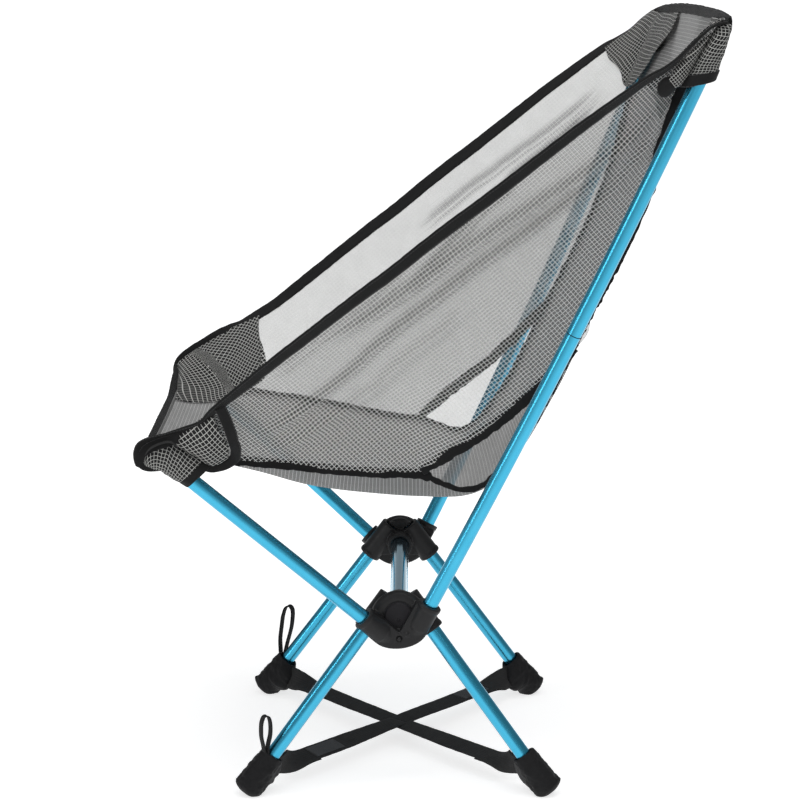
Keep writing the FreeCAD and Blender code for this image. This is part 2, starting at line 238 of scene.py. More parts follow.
def node(nt, kind, **props):
    n = nt.nodes.new(kind)
    for k, v in props.items():
        setattr(n, k, v)
    return n


def mathn(nt, op, a, b=None, c=None):
    n = nt.nodes.new("ShaderNodeMath")
    n.operation = op
    for i, x in enumerate((a, b, c)):
        if x is None:
            continue
        if isinstance(x, (int, float)):
            n.inputs[i].default_value = x
        else:
            nt.links.new(x, n.inputs[i])
    return n.outputs[0]


def ramp(nt, fac, stops):
    n = nt.nodes.new("ShaderNodeValToRGB")
    cr = n.color_ramp
    while len(cr.elements) < len(stops):
        cr.elements.new(0.5)
    for e, (p, c) in zip(cr.elements, stops):
        e.position = p
        e.color = (*c, 1.0)
    nt.links.new(fac, n.inputs[0])
    return n.outputs[0]


def smooth(nt, x, lo, hi, a, b):
    n = nt.nodes.new("ShaderNodeMapRange")
    n.interpolation_type = "SMOOTHSTEP"
    nt.links.new(x, n.inputs[0])
    for i, v in enumerate((lo, hi, a, b)):
        n.inputs[i + 1].default_value = v
    return n.outputs[0]


def mixf(nt, fac, a, b):
    n = nt.nodes.new("ShaderNodeMix")
    n.data_type = "FLOAT"
    nt.links.new(fac, n.inputs[0])
    n.inputs[2].default_value = a
    n.inputs[3].default_value = b
    return n.outputs[0]


def mixc(nt, fac, a, b, mode="MIX"):
    n = nt.nodes.new("ShaderNodeMix")
    n.data_type = "RGBA"
    n.blend_type = mode
    if isinstance(fac, (int, float)):
        n.inputs[0].default_value = fac
    else:
        nt.links.new(fac, n.inputs[0])
    for i, x in ((6, a), (7, b)):
        if isinstance(x, tuple):
            n.inputs[i].default_value = (*x, 1.0)
        else:
            nt.links.new(x, n.inputs[i])
    return n.outputs[2]


def cloth_uv(nt):
    uv = nt.nodes.new("ShaderNodeUVMap")
    uv.uv_map = "cloth"
    sep = nt.nodes.new("ShaderNodeSeparateXYZ")
    nt.links.new(uv.outputs[0], sep.inputs[0])
    return uv.outputs[0], sep.outputs[0], sep.outputs[1]


def object_noise(nt, scale, detail=3.0, rough=0.55, stretch=None):
    tc = nt.nodes.new("ShaderNodeTexCoord")
    src = tc.outputs["Object"]
    if stretch is not None:
        mp = nt.nodes.new("ShaderNodeMapping")
        mp.inputs["Scale"].default_value = stretch
        nt.links.new(src, mp.inputs[0])
        src = mp.outputs[0]
    n = nt.nodes.new("ShaderNodeTexNoise")
    n.inputs["Scale"].default_value = scale
    n.inputs["Detail"].default_value = detail
    n.inputs["Roughness"].default_value = rough
    nt.links.new(src, n.inputs["Vector"])
    return n.outputs[0]


def bump(nt, bsdf, height, strength, distance):
    b = nt.nodes.new("ShaderNodeBump")
    b.inputs["Strength"].default_value = strength
    b.inputs["Distance"].default_value = distance
    nt.links.new(height, b.inputs["Height"])
    nt.links.new(b.outputs[0], bsdf.inputs["Normal"])


def link(nt, out, bsdf, socket):
    nt.links.new(out, bsdf.inputs[socket])


PITCH_MM = 3.2


def ripstop(name, base, line, a0, a1, lw, rough, sheen=0.15):
    """Grid ripstop; the uv map is in mm on the cloth, and threads run along both axes."""
    m, nt, bsdf = material(name)
    uv, u, v = cloth_uv(nt)
    masks = []
    for x in (u, v):
        d = mathn(nt, "PINGPONG", mathn(nt, "DIVIDE", x, PITCH_MM), 0.5)
        masks.append(smooth(nt, d, lw / 2 - 0.035, lw / 2 + 0.05, 1.0, 0.0))
    cross = mathn(nt, "MULTIPLY", masks[0], masks[1])
    lines = mathn(nt, "MAXIMUM", masks[0], masks[1])
    # the fine cloth between the heavy threads
    fine = []
    for x in (u, v):
        fine.append(mathn(nt, "PINGPONG", mathn(nt, "DIVIDE", x, 0.42), 0.5))
    weave = mathn(nt, "MULTIPLY", mathn(nt, "ADD", fine[0], fine[1]), 1.0)
    n1 = object_noise(nt, 55.0, 3.0)
    n2 = object_noise(nt, 700.0, 2.0)
    col0 = mixc(nt, n1, tuple(c * 0.82 for c in base), tuple(min(1, c * 1.2) for c in base))
    col1 = mixc(nt, n2, tuple(c * 0.86 for c in line), line)
    col = mixc(nt, lines, col0, col1)
    link(nt, col, bsdf, "Base Color")
    bsdf.inputs["Roughness"].default_value = rough
    bsdf.inputs["Specular IOR Level"].default_value = 0.25
    bsdf.inputs["Sheen Weight"].default_value = sheen
    bsdf.inputs["Sheen Roughness"].default_value = 0.4
    if a0 < 1.0:
        fine_alpha = mathn(nt, "MULTIPLY_ADD", n1, 0.10, a0 - 0.05)
        extra = mathn(nt, "MULTIPLY", lines, a1 - a0)
        al = mathn(nt, "ADD", fine_alpha, extra)
        # extra opacity from a mesh attribute: painted crease shade on the side panels' ridge flanks, and a denser top
        # on the centre panel
        opacity_attr = nt.nodes.new("ShaderNodeAttribute")
        opacity_attr.attribute_name = "extra_opacity"
        al = mathn(nt, "MINIMUM", mathn(nt, "ADD", al, mathn(nt, "MULTIPLY", opacity_attr.outputs["Fac"], 0.42)), 0.98)
        link(nt, al, bsdf, "Alpha")
    h = mathn(nt, "ADD", mathn(nt, "MULTIPLY", lines, 1.0), mathn(nt, "MULTIPLY", weave, 0.15))
    h = mathn(nt, "ADD", h, mathn(nt, "MULTIPLY", cross, 0.35))
    bump(nt, bsdf, h, 0.5, 0.0003)
    return m


MAT_SHEER = ripstop("sheer_ripstop", (0.045, 0.045, 0.044), (0.84, 0.84, 0.82), 0.46, 0.93, 0.125, 0.62, 0.0)
# the seat's centre panel uses a darker, more opaque copy of the side panels' sheer cloth: painted shade
MAT_CENTRE = ripstop("sheer_ripstop_seat_shaded", (0.108, 0.108, 0.107), (0.43, 0.43, 0.42), 0.90, 0.96, 0.135, 0.62, 0.0)
MAT_POCKET = ripstop("backed_ripstop", (0.006, 0.006, 0.0065), (0.58, 0.58, 0.555), 1.0, 1.0, 0.115, 0.6, 0.0)


def woven(name, dark, light, scale_u=0.55, scale_v=0.55, rough=0.62, sheen=0.25, stitch=None, ribs=0.0, half=5.0, spec=0.3):
    """Plain woven tape or cloth; uv in mm. stitch: distances of the stitch rows from the middle line."""
    m, nt, bsdf = material(name)
    uv, u, v = cloth_uv(nt)
    pu = mathn(nt, "PINGPONG", mathn(nt, "DIVIDE", mathn(nt, "ADD", u, mathn(nt, "MULTIPLY", v, 0.5)), scale_u), 0.5)
    pv = mathn(nt, "PINGPONG", mathn(nt, "DIVIDE", v, scale_v), 0.5)
    w = mathn(nt, "MULTIPLY", mathn(nt, "ADD", pu, pv), 1.0)
    n1 = object_noise(nt, 60.0, 4.0)
    n2 = object_noise(nt, 900.0, 2.0)
    f = mathn(nt, "ADD", mathn(nt, "MULTIPLY", w, 0.55), mathn(nt, "MULTIPLY", n1, 0.45))
    f = mathn(nt, "ADD", f, mathn(nt, "MULTIPLY_ADD", n2, 0.3, -0.15))
    col = ramp(nt, f, [(0.15, dark), (0.85, light)])
    h = mathn(nt, "MULTIPLY", w, 1.0)
    if ribs > 0:
        rb = mathn(nt, "PINGPONG", mathn(nt, "DIVIDE", v, ribs), 0.5)
        h = mathn(nt, "ADD", h, mathn(nt, "MULTIPLY", rb, 1.6))
    if stitch:
        va = mathn(nt, "ABSOLUTE", v)
        total = None
        for s in stitch:
            row = smooth(nt, mathn(nt, "ABSOLUTE", mathn(nt, "SUBTRACT", va, s)), 0.22, 0.42, 1.0, 0.0)
            dash = smooth(nt, mathn(nt, "PINGPONG", mathn(nt, "DIVIDE", u, 2.6), 0.5), 0.10, 0.16, 0.0, 1.0)
            k = mathn(nt, "MULTIPLY", row, dash)
            total = k if total is None else mathn(nt, "MAXIMUM", total, k)
        col = mixc(nt, total, col, tuple(min(1.0, c * 2.1 + 0.01) for c in light))
        h = mathn(nt, "ADD", h, mathn(nt, "MULTIPLY", total, 2.2))
    link(nt, col, bsdf, "Base Color")
    bsdf.inputs["Roughness"].default_value = rough
    bsdf.inputs["Specular IOR Level"].default_value = spec
    bsdf.inputs["Sheen Weight"].default_value = sheen
    bsdf.inputs["Sheen Roughness"].default_value = 0.45
    bump(nt, bsdf, h, 0.6, 0.00025)
    return m


MAT_TAPE = woven("binding_tape", (0.006, 0.006, 0.0063), (0.019, 0.019, 0.0193), 0.5, 0.5, 0.62, 0.06, stitch=(4.2,), spec=0.10)
MAT_SEAM = woven("seam_tape", (0.005, 0.005, 0.0053), (0.015, 0.015, 0.0155), 0.5, 0.5, 0.64, 0.05, stitch=(2.6,), spec=0.10)
MAT_WEB = woven("webbing", (0.014, 0.014, 0.0145), (0.042, 0.042, 0.042), 1.1, 0.9, 0.7, 0.02, stitch=(9.0,), ribs=2.2, half=10, spec=0.10)
MAT_LOOP = woven("loop_webbing", (0.007, 0.007, 0.0075), (0.022, 0.022, 0.0225), 0.9, 0.7, 0.65, 0.03, spec=0.10)
MAT_BOOT = woven("boot_fabric", (0.006, 0.006, 0.0065), (0.018, 0.018, 0.019), 0.8, 0.8, 0.6, 0.02, spec=0.12)
MAT_LABEL = woven("blank_label", (0.050, 0.052, 0.055), (0.085, 0.087, 0.090), 0.4, 0.4, 0.6, 0.0, stitch=(6.3,), spec=0.1)


def anodised(name, deep, bright, rough, coat=0.0):
    """Blue dyed, drawn aluminium tube: slight dye mottling, rubbed patches."""
    m, nt, bsdf = material(name)
    n1 = object_noise(nt, 38.0, 4.0)
    n2 = object_noise(nt, 1400.0, 2.0)
    f = mathn(nt, "ADD", mathn(nt, "MULTIPLY", n1, 0.8), mathn(nt, "MULTIPLY", n2, 0.2))
    link(nt, ramp(nt, f, [(0.25, deep), (0.75, bright)]), bsdf, "Base Color")
    bsdf.inputs["Metallic"].default_value = 1.0
    r = mathn(nt, "MULTIPLY_ADD", n1, 0.06, rough - 0.03)
    link(nt, r, bsdf, "Roughness")
    if coat:
        bsdf.inputs["Coat Weight"].default_value = coat
        bsdf.inputs["Coat Roughness"].default_value = 0.24
    return m


MAT_TUBE = anodised("anodised_blue", (0.046, 0.41, 0.63), (0.066, 0.47, 0.70), 0.26, 0.28)
MAT_BAR = anodised("polished_bar", (0.20, 0.42, 0.55), (0.27, 0.50, 0.62), 0.11, 0.0)
MAT_FERRULE = anodised("bare_aluminium", (0.55, 0.56, 0.57), (0.68, 0.69, 0.70), 0.3, 0.0)


def moulded(name, dark, light, rough, spec=0.45, grain=900.0, depth=0.00012):
    """Moulded nylon or rubber: spark-eroded grain, faint flow marks."""
    m, nt, bsdf = material(name)
    n1 = object_noise(nt, 45.0, 4.0)
    n2 = object_noise(nt, grain, 3.0, 0.6)
    f = mathn(nt, "ADD", mathn(nt, "MULTIPLY", n1, 0.6), mathn(nt, "MULTIPLY", n2, 0.4))
    link(nt, ramp(nt, f, [(0.25, dark), (0.8, light)]), bsdf, "Base Color")
    link(nt, mathn(nt, "MULTIPLY_ADD", n2, 0.16, rough - 0.08), bsdf, "Roughness")
    bsdf.inputs["Specular IOR Level"].default_value = spec
    bump(nt, bsdf, n2, 0.35, depth)
    return m


MAT_HUB = moulded("hub_nylon", (0.011, 0.011, 0.0115), (0.020, 0.020, 0.021), 0.40, 0.22)
MAT_CAP = moulded("hub_cap_nylon", (0.012, 0.0115, 0.013), (0.020, 0.019, 0.022), 0.50, 0.15)
MAT_TIP = moulded("tip_nylon", (0.018, 0.018, 0.018), (0.032, 0.032, 0.033), 0.40)
MAT_RUBBER = moulded("foot_rubber", (0.010, 0.010, 0.0105), (0.022, 0.022, 0.023), 0.55, 0.4, 500.0)
MAT_CORD = woven("shock_cord", (0.02, 0.02, 0.021), (0.07, 0.07, 0.072), 0.7, 0.7, 0.7, 0.2)

# carried-over CAD nodes
for name, ob in nodes.items():
    mat = None
    if name == "crossbar":
        mat = MAT_BAR
    elif "ferrule" in name:
        mat = MAT_FERRULE
    elif "_cord" in name:
        mat = MAT_CORD
    elif "tip" in name:
        mat = MAT_TIP
    elif "hub_cap" in name:
        mat = MAT_CAP
    elif "hub" in name:
        mat = MAT_HUB
    elif "foot" in name:
        mat = MAT_RUBBER
    elif "pole" in name or name.endswith("_leg_left") or name.endswith("_leg_right"):
        mat = MAT_TUBE
    if mat is not None:
        ob.data.materials.clear()
        ob.data.materials.append(mat)

# ------------------------------------------------------------------ hubs: the moulding with its edges rounded and the web between its lower sockets filled
def rounded_hub(side):
    import bmesh

    src = nodes["hub_body_" + side]
    bm = bmesh.new()
    bm.from_mesh(src.data)
    bm.transform(src.matrix_world)
    bmesh.ops.remove_doubles(bm, verts=bm.verts, dist=1e-6)
    sgn = 1 if side == "left" else -1
    for x0, x1, rad, cy, cz in ((149.6, 160.5, 26.6, -2.5, 152.0), (150.6, 159.6, 27.2, -2.5, 152.2)):
        n = 96
        # lower part of a disc only
        ring = [(cy + rad * math.cos(t), cz + rad * math.sin(t)) for t in np.linspace(math.pi * 1.12, math.pi * 1.88, n)]
        loops = []
        for x in (x0, x1):
            loops.append([bm.verts.new((sgn * x * 0.001, (y + Y_SHIFT) * 0.001, z * 0.001)) for y, z in ring])
        n = len(ring)
        for i in range(n):
            j = (i + 1) % n
            bm.faces.new((loops[0][i], loops[0][j], loops[1][j], loops[1][i]))
        bm.faces.new(loops[0][::-1])
        bm.faces.new(loops[1])
    bmesh.ops.recalc_face_normals(bm, faces=bm.faces)
    me = bpy.data.meshes.new("hub_tmp")
    bm.to_mesh(me)
    bm.free()
    tmp = bpy.data.objects.new("hub_tmp", me)
    scene.collection.objects.link(tmp)
    rm = tmp.modifiers.new("remesh", "REMESH")
    rm.mode = "VOXEL"
    rm.voxel_size = 0.0007
    sm = tmp.modifiers.new("smooth", "SMOOTH")
    sm.factor = 0.5
    sm.iterations = 5
    dg = bpy.context.evaluated_depsgraph_get()
    out = bpy.data.meshes.new_from_object(tmp.evaluated_get(dg), depsgraph=dg)
    bpy.data.objects.remove(tmp)
    bpy.data.meshes.remove(me)
    out.name = "hub_moulding_" + side
    out.materials.clear()
    out.materials.append(MAT_HUB)
    out.polygons.foreach_set("use_smooth", [True] * len(out.polygons))
    ob = bpy.data.objects.new("hub_moulding_" + side, out)
    scene.collection.objects.link(ob)
    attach(ob, "frame")
    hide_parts("hub_body_" + side)
    return ob


for side in ("left", "right"):
    rounded_hub(side)

# the drawn tubes, shaded round
def round_tube(name, body):
    import bmesh

    src = nodes[name]
    bm = bmesh.new()
    bm.from_mesh(src.data)
    bm.transform(src.matrix_world)
    bmesh.ops.remove_doubles(bm, verts=bm.verts, dist=1e-6)
    bmesh.ops.recalc_face_normals(bm, faces=bm.faces)
    for f in bm.faces:
        f.smooth = True
    for e_ in bm.edges:
        e_.smooth = len(e_.link_faces) == 2 and e_.calc_face_angle(3.0) < math.radians(35)
    me = bpy.data.meshes.new(name + "_drawn")
    bm.to_mesh(me)
    bm.free()
    me.materials.append(MAT_TUBE)
    ob = bpy.data.objects.new(name + "_drawn", me)
    scene.collection.objects.link(ob)
    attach(ob, body)
    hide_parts(name)
    return ob


for side in ("left", "right"):
    for part_ in ("front_pole_", "rear_pole_lower_", "rear_pole_upper_"):
        round_tube(part_ + side, "frame")
    for part_ in ("front_leg_", "rear_leg_"):
        round_tube(part_ + side, part_ + side)

# the gap between the two parts of each rear pole
MAT_GAP = moulded("joint_shadow", (0.004, 0.006, 0.008), (0.008, 0.010, 0.012), 0.6, 0.1)
for side in ("left", "right"):
    up_ = A([nodes["rear_pole_upper_" + side].matrix_world @ v.co for v in nodes["rear_pole_upper_" + side].data.vertices]) * 1000.0
    low_end = up_[np.argsort(up_[:, 2])[:24]]
    zmin = up_[:, 2].min()
    near_ = up_[up_[:, 2] < zmin + 9.0]
    ax_ = unit(A((1 if side == "left" else -1, 1, 1)) * unit(A((245, 244, 623)) - A((157, 4.8, 122))))
    t_ = near_ @ ax_
    c_ = near_[t_ < t_.min() + 0.3].mean(0)
    e1_ = unit(np.cross(ax_, A((1, 0, 0))))
    e2_ = np.cross(ax_, e1_)
    ringv, rf = [], []
    for off, rr_ in ((-0.32, 6.2), (-0.32, 6.36), (0.32, 6.36), (0.32, 6.2)):
        for q_ in range(48):
            th = 2 * math.pi * q_ / 48
            ringv.append(c_ + ax_ * off + (e1_ * math.cos(th) + e2_ * math.sin(th)) * rr_)
    for r_ in range(4):
        for q_ in range(48):
            a0 = r_ * 48 + q_
            a1 = r_ * 48 + (q_ + 1) % 48
            b0 = ((r_ + 1) % 4) * 48 + q_
            b1 = ((r_ + 1) % 4) * 48 + (q_ + 1) % 48
            rf.append((a0, a1, b1, b0))
    ringv = A(ringv)
    ringv[:, 1] -= Y_SHIFT
    ob = make_mesh("rear_pole_joint_" + side, ringv, rf, MAT_GAP, np.zeros((len(ringv), 2)))
    fix_normals(ob)
    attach(ob, "frame")

# ------------------------------------------------------------------ the seat's curves
BINDING = [(222, -148, 334), (226, -121.5, 356), (230, -97.5, 376), (233, -73.5, 395), (236, -49.5, 414),
           (239, -26.5, 432), (241, -2.5, 450), (244, 20.5, 469), (247, 43.5, 487), (249, 67.5, 505),
           (251, 90.5, 523), (252, 113.5, 541), (253, 136.5, 559), (254, 159.5, 576), (255, 181.5, 592)]
SEAM_A = [(168, -133, 284.5), (165, -113.5, 282), (161, -89.5, 279), (157, -64.5, 275.5), (150, -40.5, 272),
          (140, -15.5, 268.5), (133, 2, 267), (131, 19, 265.5)]
SEAM_B = [(133, 19, 269), (147, 38.5, 284), (157, 58.5, 298), (161, 76.5, 311), (164, 92.5, 325),
          (167, 109.5, 341), (169, 126, 358), (170, 142, 376), (171, 153, 390)]
SEAM_C = [(136, 34, 259.5), (139, 51, 254), (144, 67, 257.5), (151, 79.5, 269.5), (159, 95, 290), (165, 107.5, 310),
          (168, 118, 331), (170, 128, 350), (171, 136.5, 368), (171.5, 147.5, 391)]
SEAM_D = {"left": [(172, 156.5, 408), (175, 167.5, 430), (180, 181.5, 460), (185, 195, 494), (191, 207.5, 531), (198, 217.5, 563), (206, 231, 605), (212, 249.5, 636.5)],
          "right": [(172, 156.5, 408), (175, 167.5, 430), (180, 181.5, 460), (185, 195, 494), (191, 206.5, 531), (198, 215.0, 561), (206, 227, 603), (212, 238.5, 629.5)]}
CENTRE = [(0, -205, 288), (0, -190, 273), (0, -165, 261), (0, -140, 253.5), (0, -116, 247), (0, -83, 236),
          (0, -49, 228.8), (0, -9, 223.4), (0, 18, 222.0), (0, 42, 223.8), (0, 62, 230), (0, 82, 242),
          (0, 103, 264), (0, 120, 290), (0, 138, 326), (0, 152, 359), (0, 165.5, 391), (0, 184, 436),
          (0, 203, 482), (0, 219, 526), (0, 231, 572), (0, 239, 612), (0, 243, 638)]
FRONT_CORNER = [(184, -203, 296), (178, -178, 291), (172, -152, 287)]
# upper edge past the rear pole's tip, and round the front pole's tip
TOP_S = {"left": [(255, 194, 600.5), (254, 205, 606.5), (253, 215.2, 614.5), (252, 225.8, 625), (252, 235.6, 634.5), (252, 244.6, 640.5), (251, 251.5, 642.0)],
         "right": [(255, 194, 600.5), (254, 205, 606.5), (253, 214.5, 613.0), (252, 223.0, 621), (251, 230.5, 627), (249, 236.5, 631.0), (246, 240, 633.0)]}
BINDINGS = {"left": BINDING, "right": [(222, -148, 341.5), (225, -131, 352.0), (226.5, -118, 360)] + BINDING[2:]}
FRONT_WRAP = {"right": [(211.5, -206.5, 288), (212.8, -209.5, 296.5), (214, -208.8, 304.5), (215, -204.0, 311.0), (216, -195, 317.5), (217.5, -183, 324.5), (219.5, -169, 332.5), (221.0, -157, 338)],
              "left": [(209, -184, 283.5), (210, -194, 284.6), (211.5, -202.5, 285.8), (212.5, -207.4, 290.0), (213, -208.6, 297), (214, -207.6, 302), (215, -204.5, 306.0), (217, -195, 309.6), (218.5, -184.5, 312.0), (219.5, -167.5, 318.4), (220.5, -155.5, 325)]}

# directions on the cloth: along the upper edge, and down from it
E1 = unit(A(BINDING[-1]) - A(BINDING[0]))
DOWN = A((160, 20, 300)) - A((240, 0, 450))
E2 = unit(DOWN - E1 * (DOWN @ E1))


def cloth_coords(g, rest=None):
    """UV in mm on the cloth. rest is the smooth shape; creases take up more cloth than it."""
    r = g if rest is None else rest
    u = r @ E1
    v = r @ E2
    if rest is not None:
        d1 = np.linalg.norm(np.diff(g, axis=1), axis=2)
        d0 = np.linalg.norm(np.diff(rest, axis=1), axis=2)
        extra = np.concatenate([np.zeros((g.shape[0], 1)), np.cumsum(d1 - d0, axis=1)], axis=1)
        extra = extra - extra[:, -1:]
        v = v - extra
    return np.stack([u, v], axis=2)


# ------------------------------------------------------------------ side panels
NS, MS = 260, 110
tt = np.linspace(0, 1, MS)[None, :, None]
SIDE_LOW, SIDE_HIGH, SIDE_REST = {}, {}, {}
for side in ("left", "right"):
    SIDE_LOW[side] = resample(SEAM_A + SEAM_B + SEAM_D[side], NS - 1)
    SIDE_HIGH[side] = resample(BINDINGS[side] + TOP_S[side], NS - 1)
    SIDE_REST[side] = SIDE_LOW[side][:, None] * (1 - tt) + SIDE_HIGH[side][:, None] * tt
    SIDE_REST[side] = SIDE_REST[side] - A((1, 0.35, -0.4)) * (4.0 * 4 * tt * (1 - tt))
side_rest = SIDE_REST["left"]

# creases: points (s, t), height mm, half width mm; s runs front to rear, t from the seam to the binding
CREASES_NEAR = [
    ([(0.18, 0.90), (0.355, 0.862), (0.541, 0.826), (0.749, 0.606), (0.88, 0.34)], 7.5, 5.4),
    ([(0.02, 0.25), (0.10, 0.48), (0.17, 0.60), (0.247, 0.690), (0.34, 0.734), (0.525, 0.716), (0.703, 0.569), (0.80, 0.40)], 7.0, 5.0),
    ([(0.03, 0.10), (0.16, 0.40), (0.30, 0.55), (0.46, 0.58)], 3.0, 6.0),
    ([(0.60, 0.40), (0.72, 0.36), (0.84, 0.22)], 3.0, 5.5),
]
CREASES_FAR = [
    ([(0.30, 0.55), (0.463, 0.642), (0.595, 0.661), (0.726, 0.569), (0.84, 0.43)], 7.5, 5.0),
    ([(0.38, 0.80), (0.55, 0.80), (0.70, 0.70), (0.84, 0.56)], 5.0, 4.6),
    ([(0.02, 0.22), (0.12, 0.50), (0.22, 0.62), (0.36, 0.66)], 4.2, 5.5),
]


def crease_height(creases, pos):
    """Ridge heights over a grid of points (mm), each along a smooth line on it, and painted crease shade: extra opacity
    on the ridges' flanks.
    """
    n, m = pos.shape[:2]
    h = np.zeros((n, m))
    crease_shade = np.zeros((n, m))
    for pts, amp, hw in creases:
        st = resample([(a_, b_, 0.0) for a_, b_ in pts], 160, 1)
        ci = np.clip(np.rint(st[:, 0] * (n - 1)).astype(int), 0, n - 1)
        cj = np.clip(np.rint(st[:, 1] * (m - 1)).astype(int), 0, m - 1)
        line = resample(pos[ci, cj][::8], 160, 1)
        best = np.full((n, m), 1e9)
        at = np.zeros((n, m))
        for k_ in range(len(line)):
            d2 = ((pos - line[k_]) ** 2).sum(2)
            closer = d2 < best
            best = np.where(closer, d2, best)
            at = np.where(closer, k_ / (len(line) - 1.0), at)
        f = np.clip(at / 0.18, 0, 1) * np.clip((1 - at) / 0.18, 0, 1)
        f = f * f * (3 - 2 * f)
        h += amp * f * np.exp(-best / (hw * hw))
        r_ = np.sqrt(best) / hw
        crease_shade = np.maximum(crease_shade, f * min(1.0, amp / 7.0) * np.clip(1.9 * r_ * np.exp(-r_ * r_), 0, 1))
    return h, crease_shade


SS, TT = np.meshgrid(np.linspace(0, 1, NS), np.linspace(0, 1, MS), indexing="ij")
edge_fade = np.clip(TT * 12, 0, 1) * np.clip((1 - TT) * 12, 0, 1)
# broad unevenness of cloth under light tension, and puckers along the sewn edges
soft = np.array([[noise.noise(Vector((s * 7.0, t * 2.2, 4.2))) for t in TT[0]] for s in SS[:, 0]])
h = soft * 1.6 * edge_fade
puck = np.sin(SS * 560 / 11.0 + 2.0 * np.sin(SS * 21)) * np.exp(-(TT * 160 / 9.0) ** 2) * 0.7
puck = puck + np.sin(SS * 560 / 13.0 + 1.7 * np.sin(SS * 17)) * np.exp(-((1 - TT) * 160 / 7.0) ** 2) * 0.45
h += puck
side_grids = {}
CREASE_SHADE = {}
for side, cr in (("left", CREASES_NEAR), ("right", CREASES_FAR)):
    side_n = normals_of(SIDE_REST[side])
    if (side_n[:, :, 0].mean()) < 0:
        side_n = -side_n
    ch, crease_shade = crease_height(cr, SIDE_REST[side])
    gg = SIDE_REST[side] + side_n * (h + ch * edge_fade)[:, :, None]
    side_grids[side] = (gg, cloth_coords(gg, SIDE_REST[side]))
    CREASE_SHADE[side] = crease_shade * edge_fade

# ------------------------------------------------------------------ centre panel
NC, MC = 230, 121
edges = {k_: resample(FRONT_CORNER + SEAM_A + SEAM_C + SEAM_D[k_], NC - 1) for k_ in ("left", "right")}
mid = resample(CENTRE, NC - 1)
tc_ = np.linspace(-1, 1, MC)[None, :]
q = 0.25 * np.abs(tc_) + 0.75 * tc_ ** 2
cen = np.zeros((NC, MC, 3))
for k_, on in (("left", tc_ >= 0), ("right", tc_ < 0)):
    e_ = edges[k_]
    part = np.stack([e_[:, None, 0] * tc_, mid[:, None, 1] + (e_[:, None, 1] - mid[:, None, 1]) * q,
                     mid[:, None, 2] + (e_[:, None, 2] - mid[:, None, 2]) * q], axis=2)
    cen = np.where(on[:, :, None], part, cen)
# the top of the panel follows the hem, which hangs lower on the right
HEM_IN = A([(-249, 234.2, 627.0), (-235, 237.6, 629.0), (-200, 240.2, 631.8), (-120, 244.8, 635.4), (0, 247.1, 638.8), (80, 250.1, 639.6), (160, 252.0, 640.5), (220, 253.4, 639.8), (250, 254.6, 637.8)])
HEM_OUT = A([(-249, 233.6, 632.4), (-235, 237.8, 635.6), (-200, 240.1, 638.9), (-120, 243.1, 643.3), (0, 244.5, 647.3), (80, 248.7, 648.5), (160, 252.1, 648.9), (220, 253.8, 648.3), (250, 254.8, 646.5)])
want = np.stack([cen[-1, :, 0], np.interp(cen[-1, :, 0], HEM_IN[:, 0], HEM_IN[:, 1]), np.interp(cen[-1, :, 0], HEM_IN[:, 0], HEM_IN[:, 2]) + 1.5], axis=1)
fade = np.clip((np.linspace(0, 1, NC) - 0.80) / 0.20, 0, 1)
fade = (fade * fade * (3 - 2 * fade))[:, None, None]
cen = cen + (want - cen[-1])[None] * fade
# soften the ridge on the centre line
k = np.exp(-(tc_ / 0.10) ** 2)
for _ in range(14):
    c2 = cen.copy()
    c2[:, 1:-1] = 0.25 * cen[:, :-2] + 0.5 * cen[:, 1:-1] + 0.25 * cen[:, 2:]
    cen = cen * (1 - k[:, :, None]) + c2 * k[:, :, None]
cen_rest = cen.copy()
SC, TC = np.meshgrid(np.linspace(0, 1, NC), np.linspace(-1, 1, MC), indexing="ij")
cn = normals_of(cen)
cs = np.array([[noise.noise(Vector((s * 9.0, t * 1.6, 9.1))) for t in TC[0]] for s in SC[:, 0]])
hc = cs * 1.6 * np.clip((1 - np.abs(TC)) * 8, 0, 1)
hc += np.sin(SC * 900 / 10.0 + 2.0 * np.sin(SC * 30)) * np.exp(-((1 - np.abs(TC)) * 160 / 9.0) ** 2) * 0.8
cen = cen + cn * hc[:, :, None]
along_c = np.r_[0, np.cumsum(np.linalg.norm(np.diff(mid, axis=0), axis=1))]
across_c = np.concatenate([np.zeros((NC, 1)), np.cumsum(np.linalg.norm(np.diff(cen, axis=1), axis=2), axis=1)], axis=1)
across_c = across_c - across_c[:, MC // 2][:, None]
cen_uv = np.stack([np.repeat(along_c[:, None], MC, 1), across_c], axis=2)

from mathutils import kdtree


def tree_of(points):
    t = kdtree.KDTree(len(points))
    for i, p in enumerate(points):
        t.insert(Vector(p), i)
    t.balance()
    return t


SURFACES = {}
cn2 = normals_of(cen)
if (cn2 @ A((0, -0.7, 0.7))).mean() < 0:
    cn2 = -cn2
for side in ("left", "right"):
    gg = side_grids[side][0]
    sn2 = normals_of(gg)
    if sn2[:, :, 0].mean() > 0:
        sn2 = -sn2
    cc_ = cen.copy()
    nn_ = cn2.copy()
    if side == "right":
        cc_[:, :, 0] *= -1
        nn_[:, :, 0] *= -1
    on = cc_[0, :, 0] >= 0
    SURFACES[side] = [(tree_of(cc_[:, on].reshape(-1, 3)), cc_[:, on].reshape(-1, 3), nn_[:, on].reshape(-1, 3)),
                      (tree_of(gg.reshape(-1, 3)), gg.reshape(-1, 3), sn2.reshape(-1, 3))]


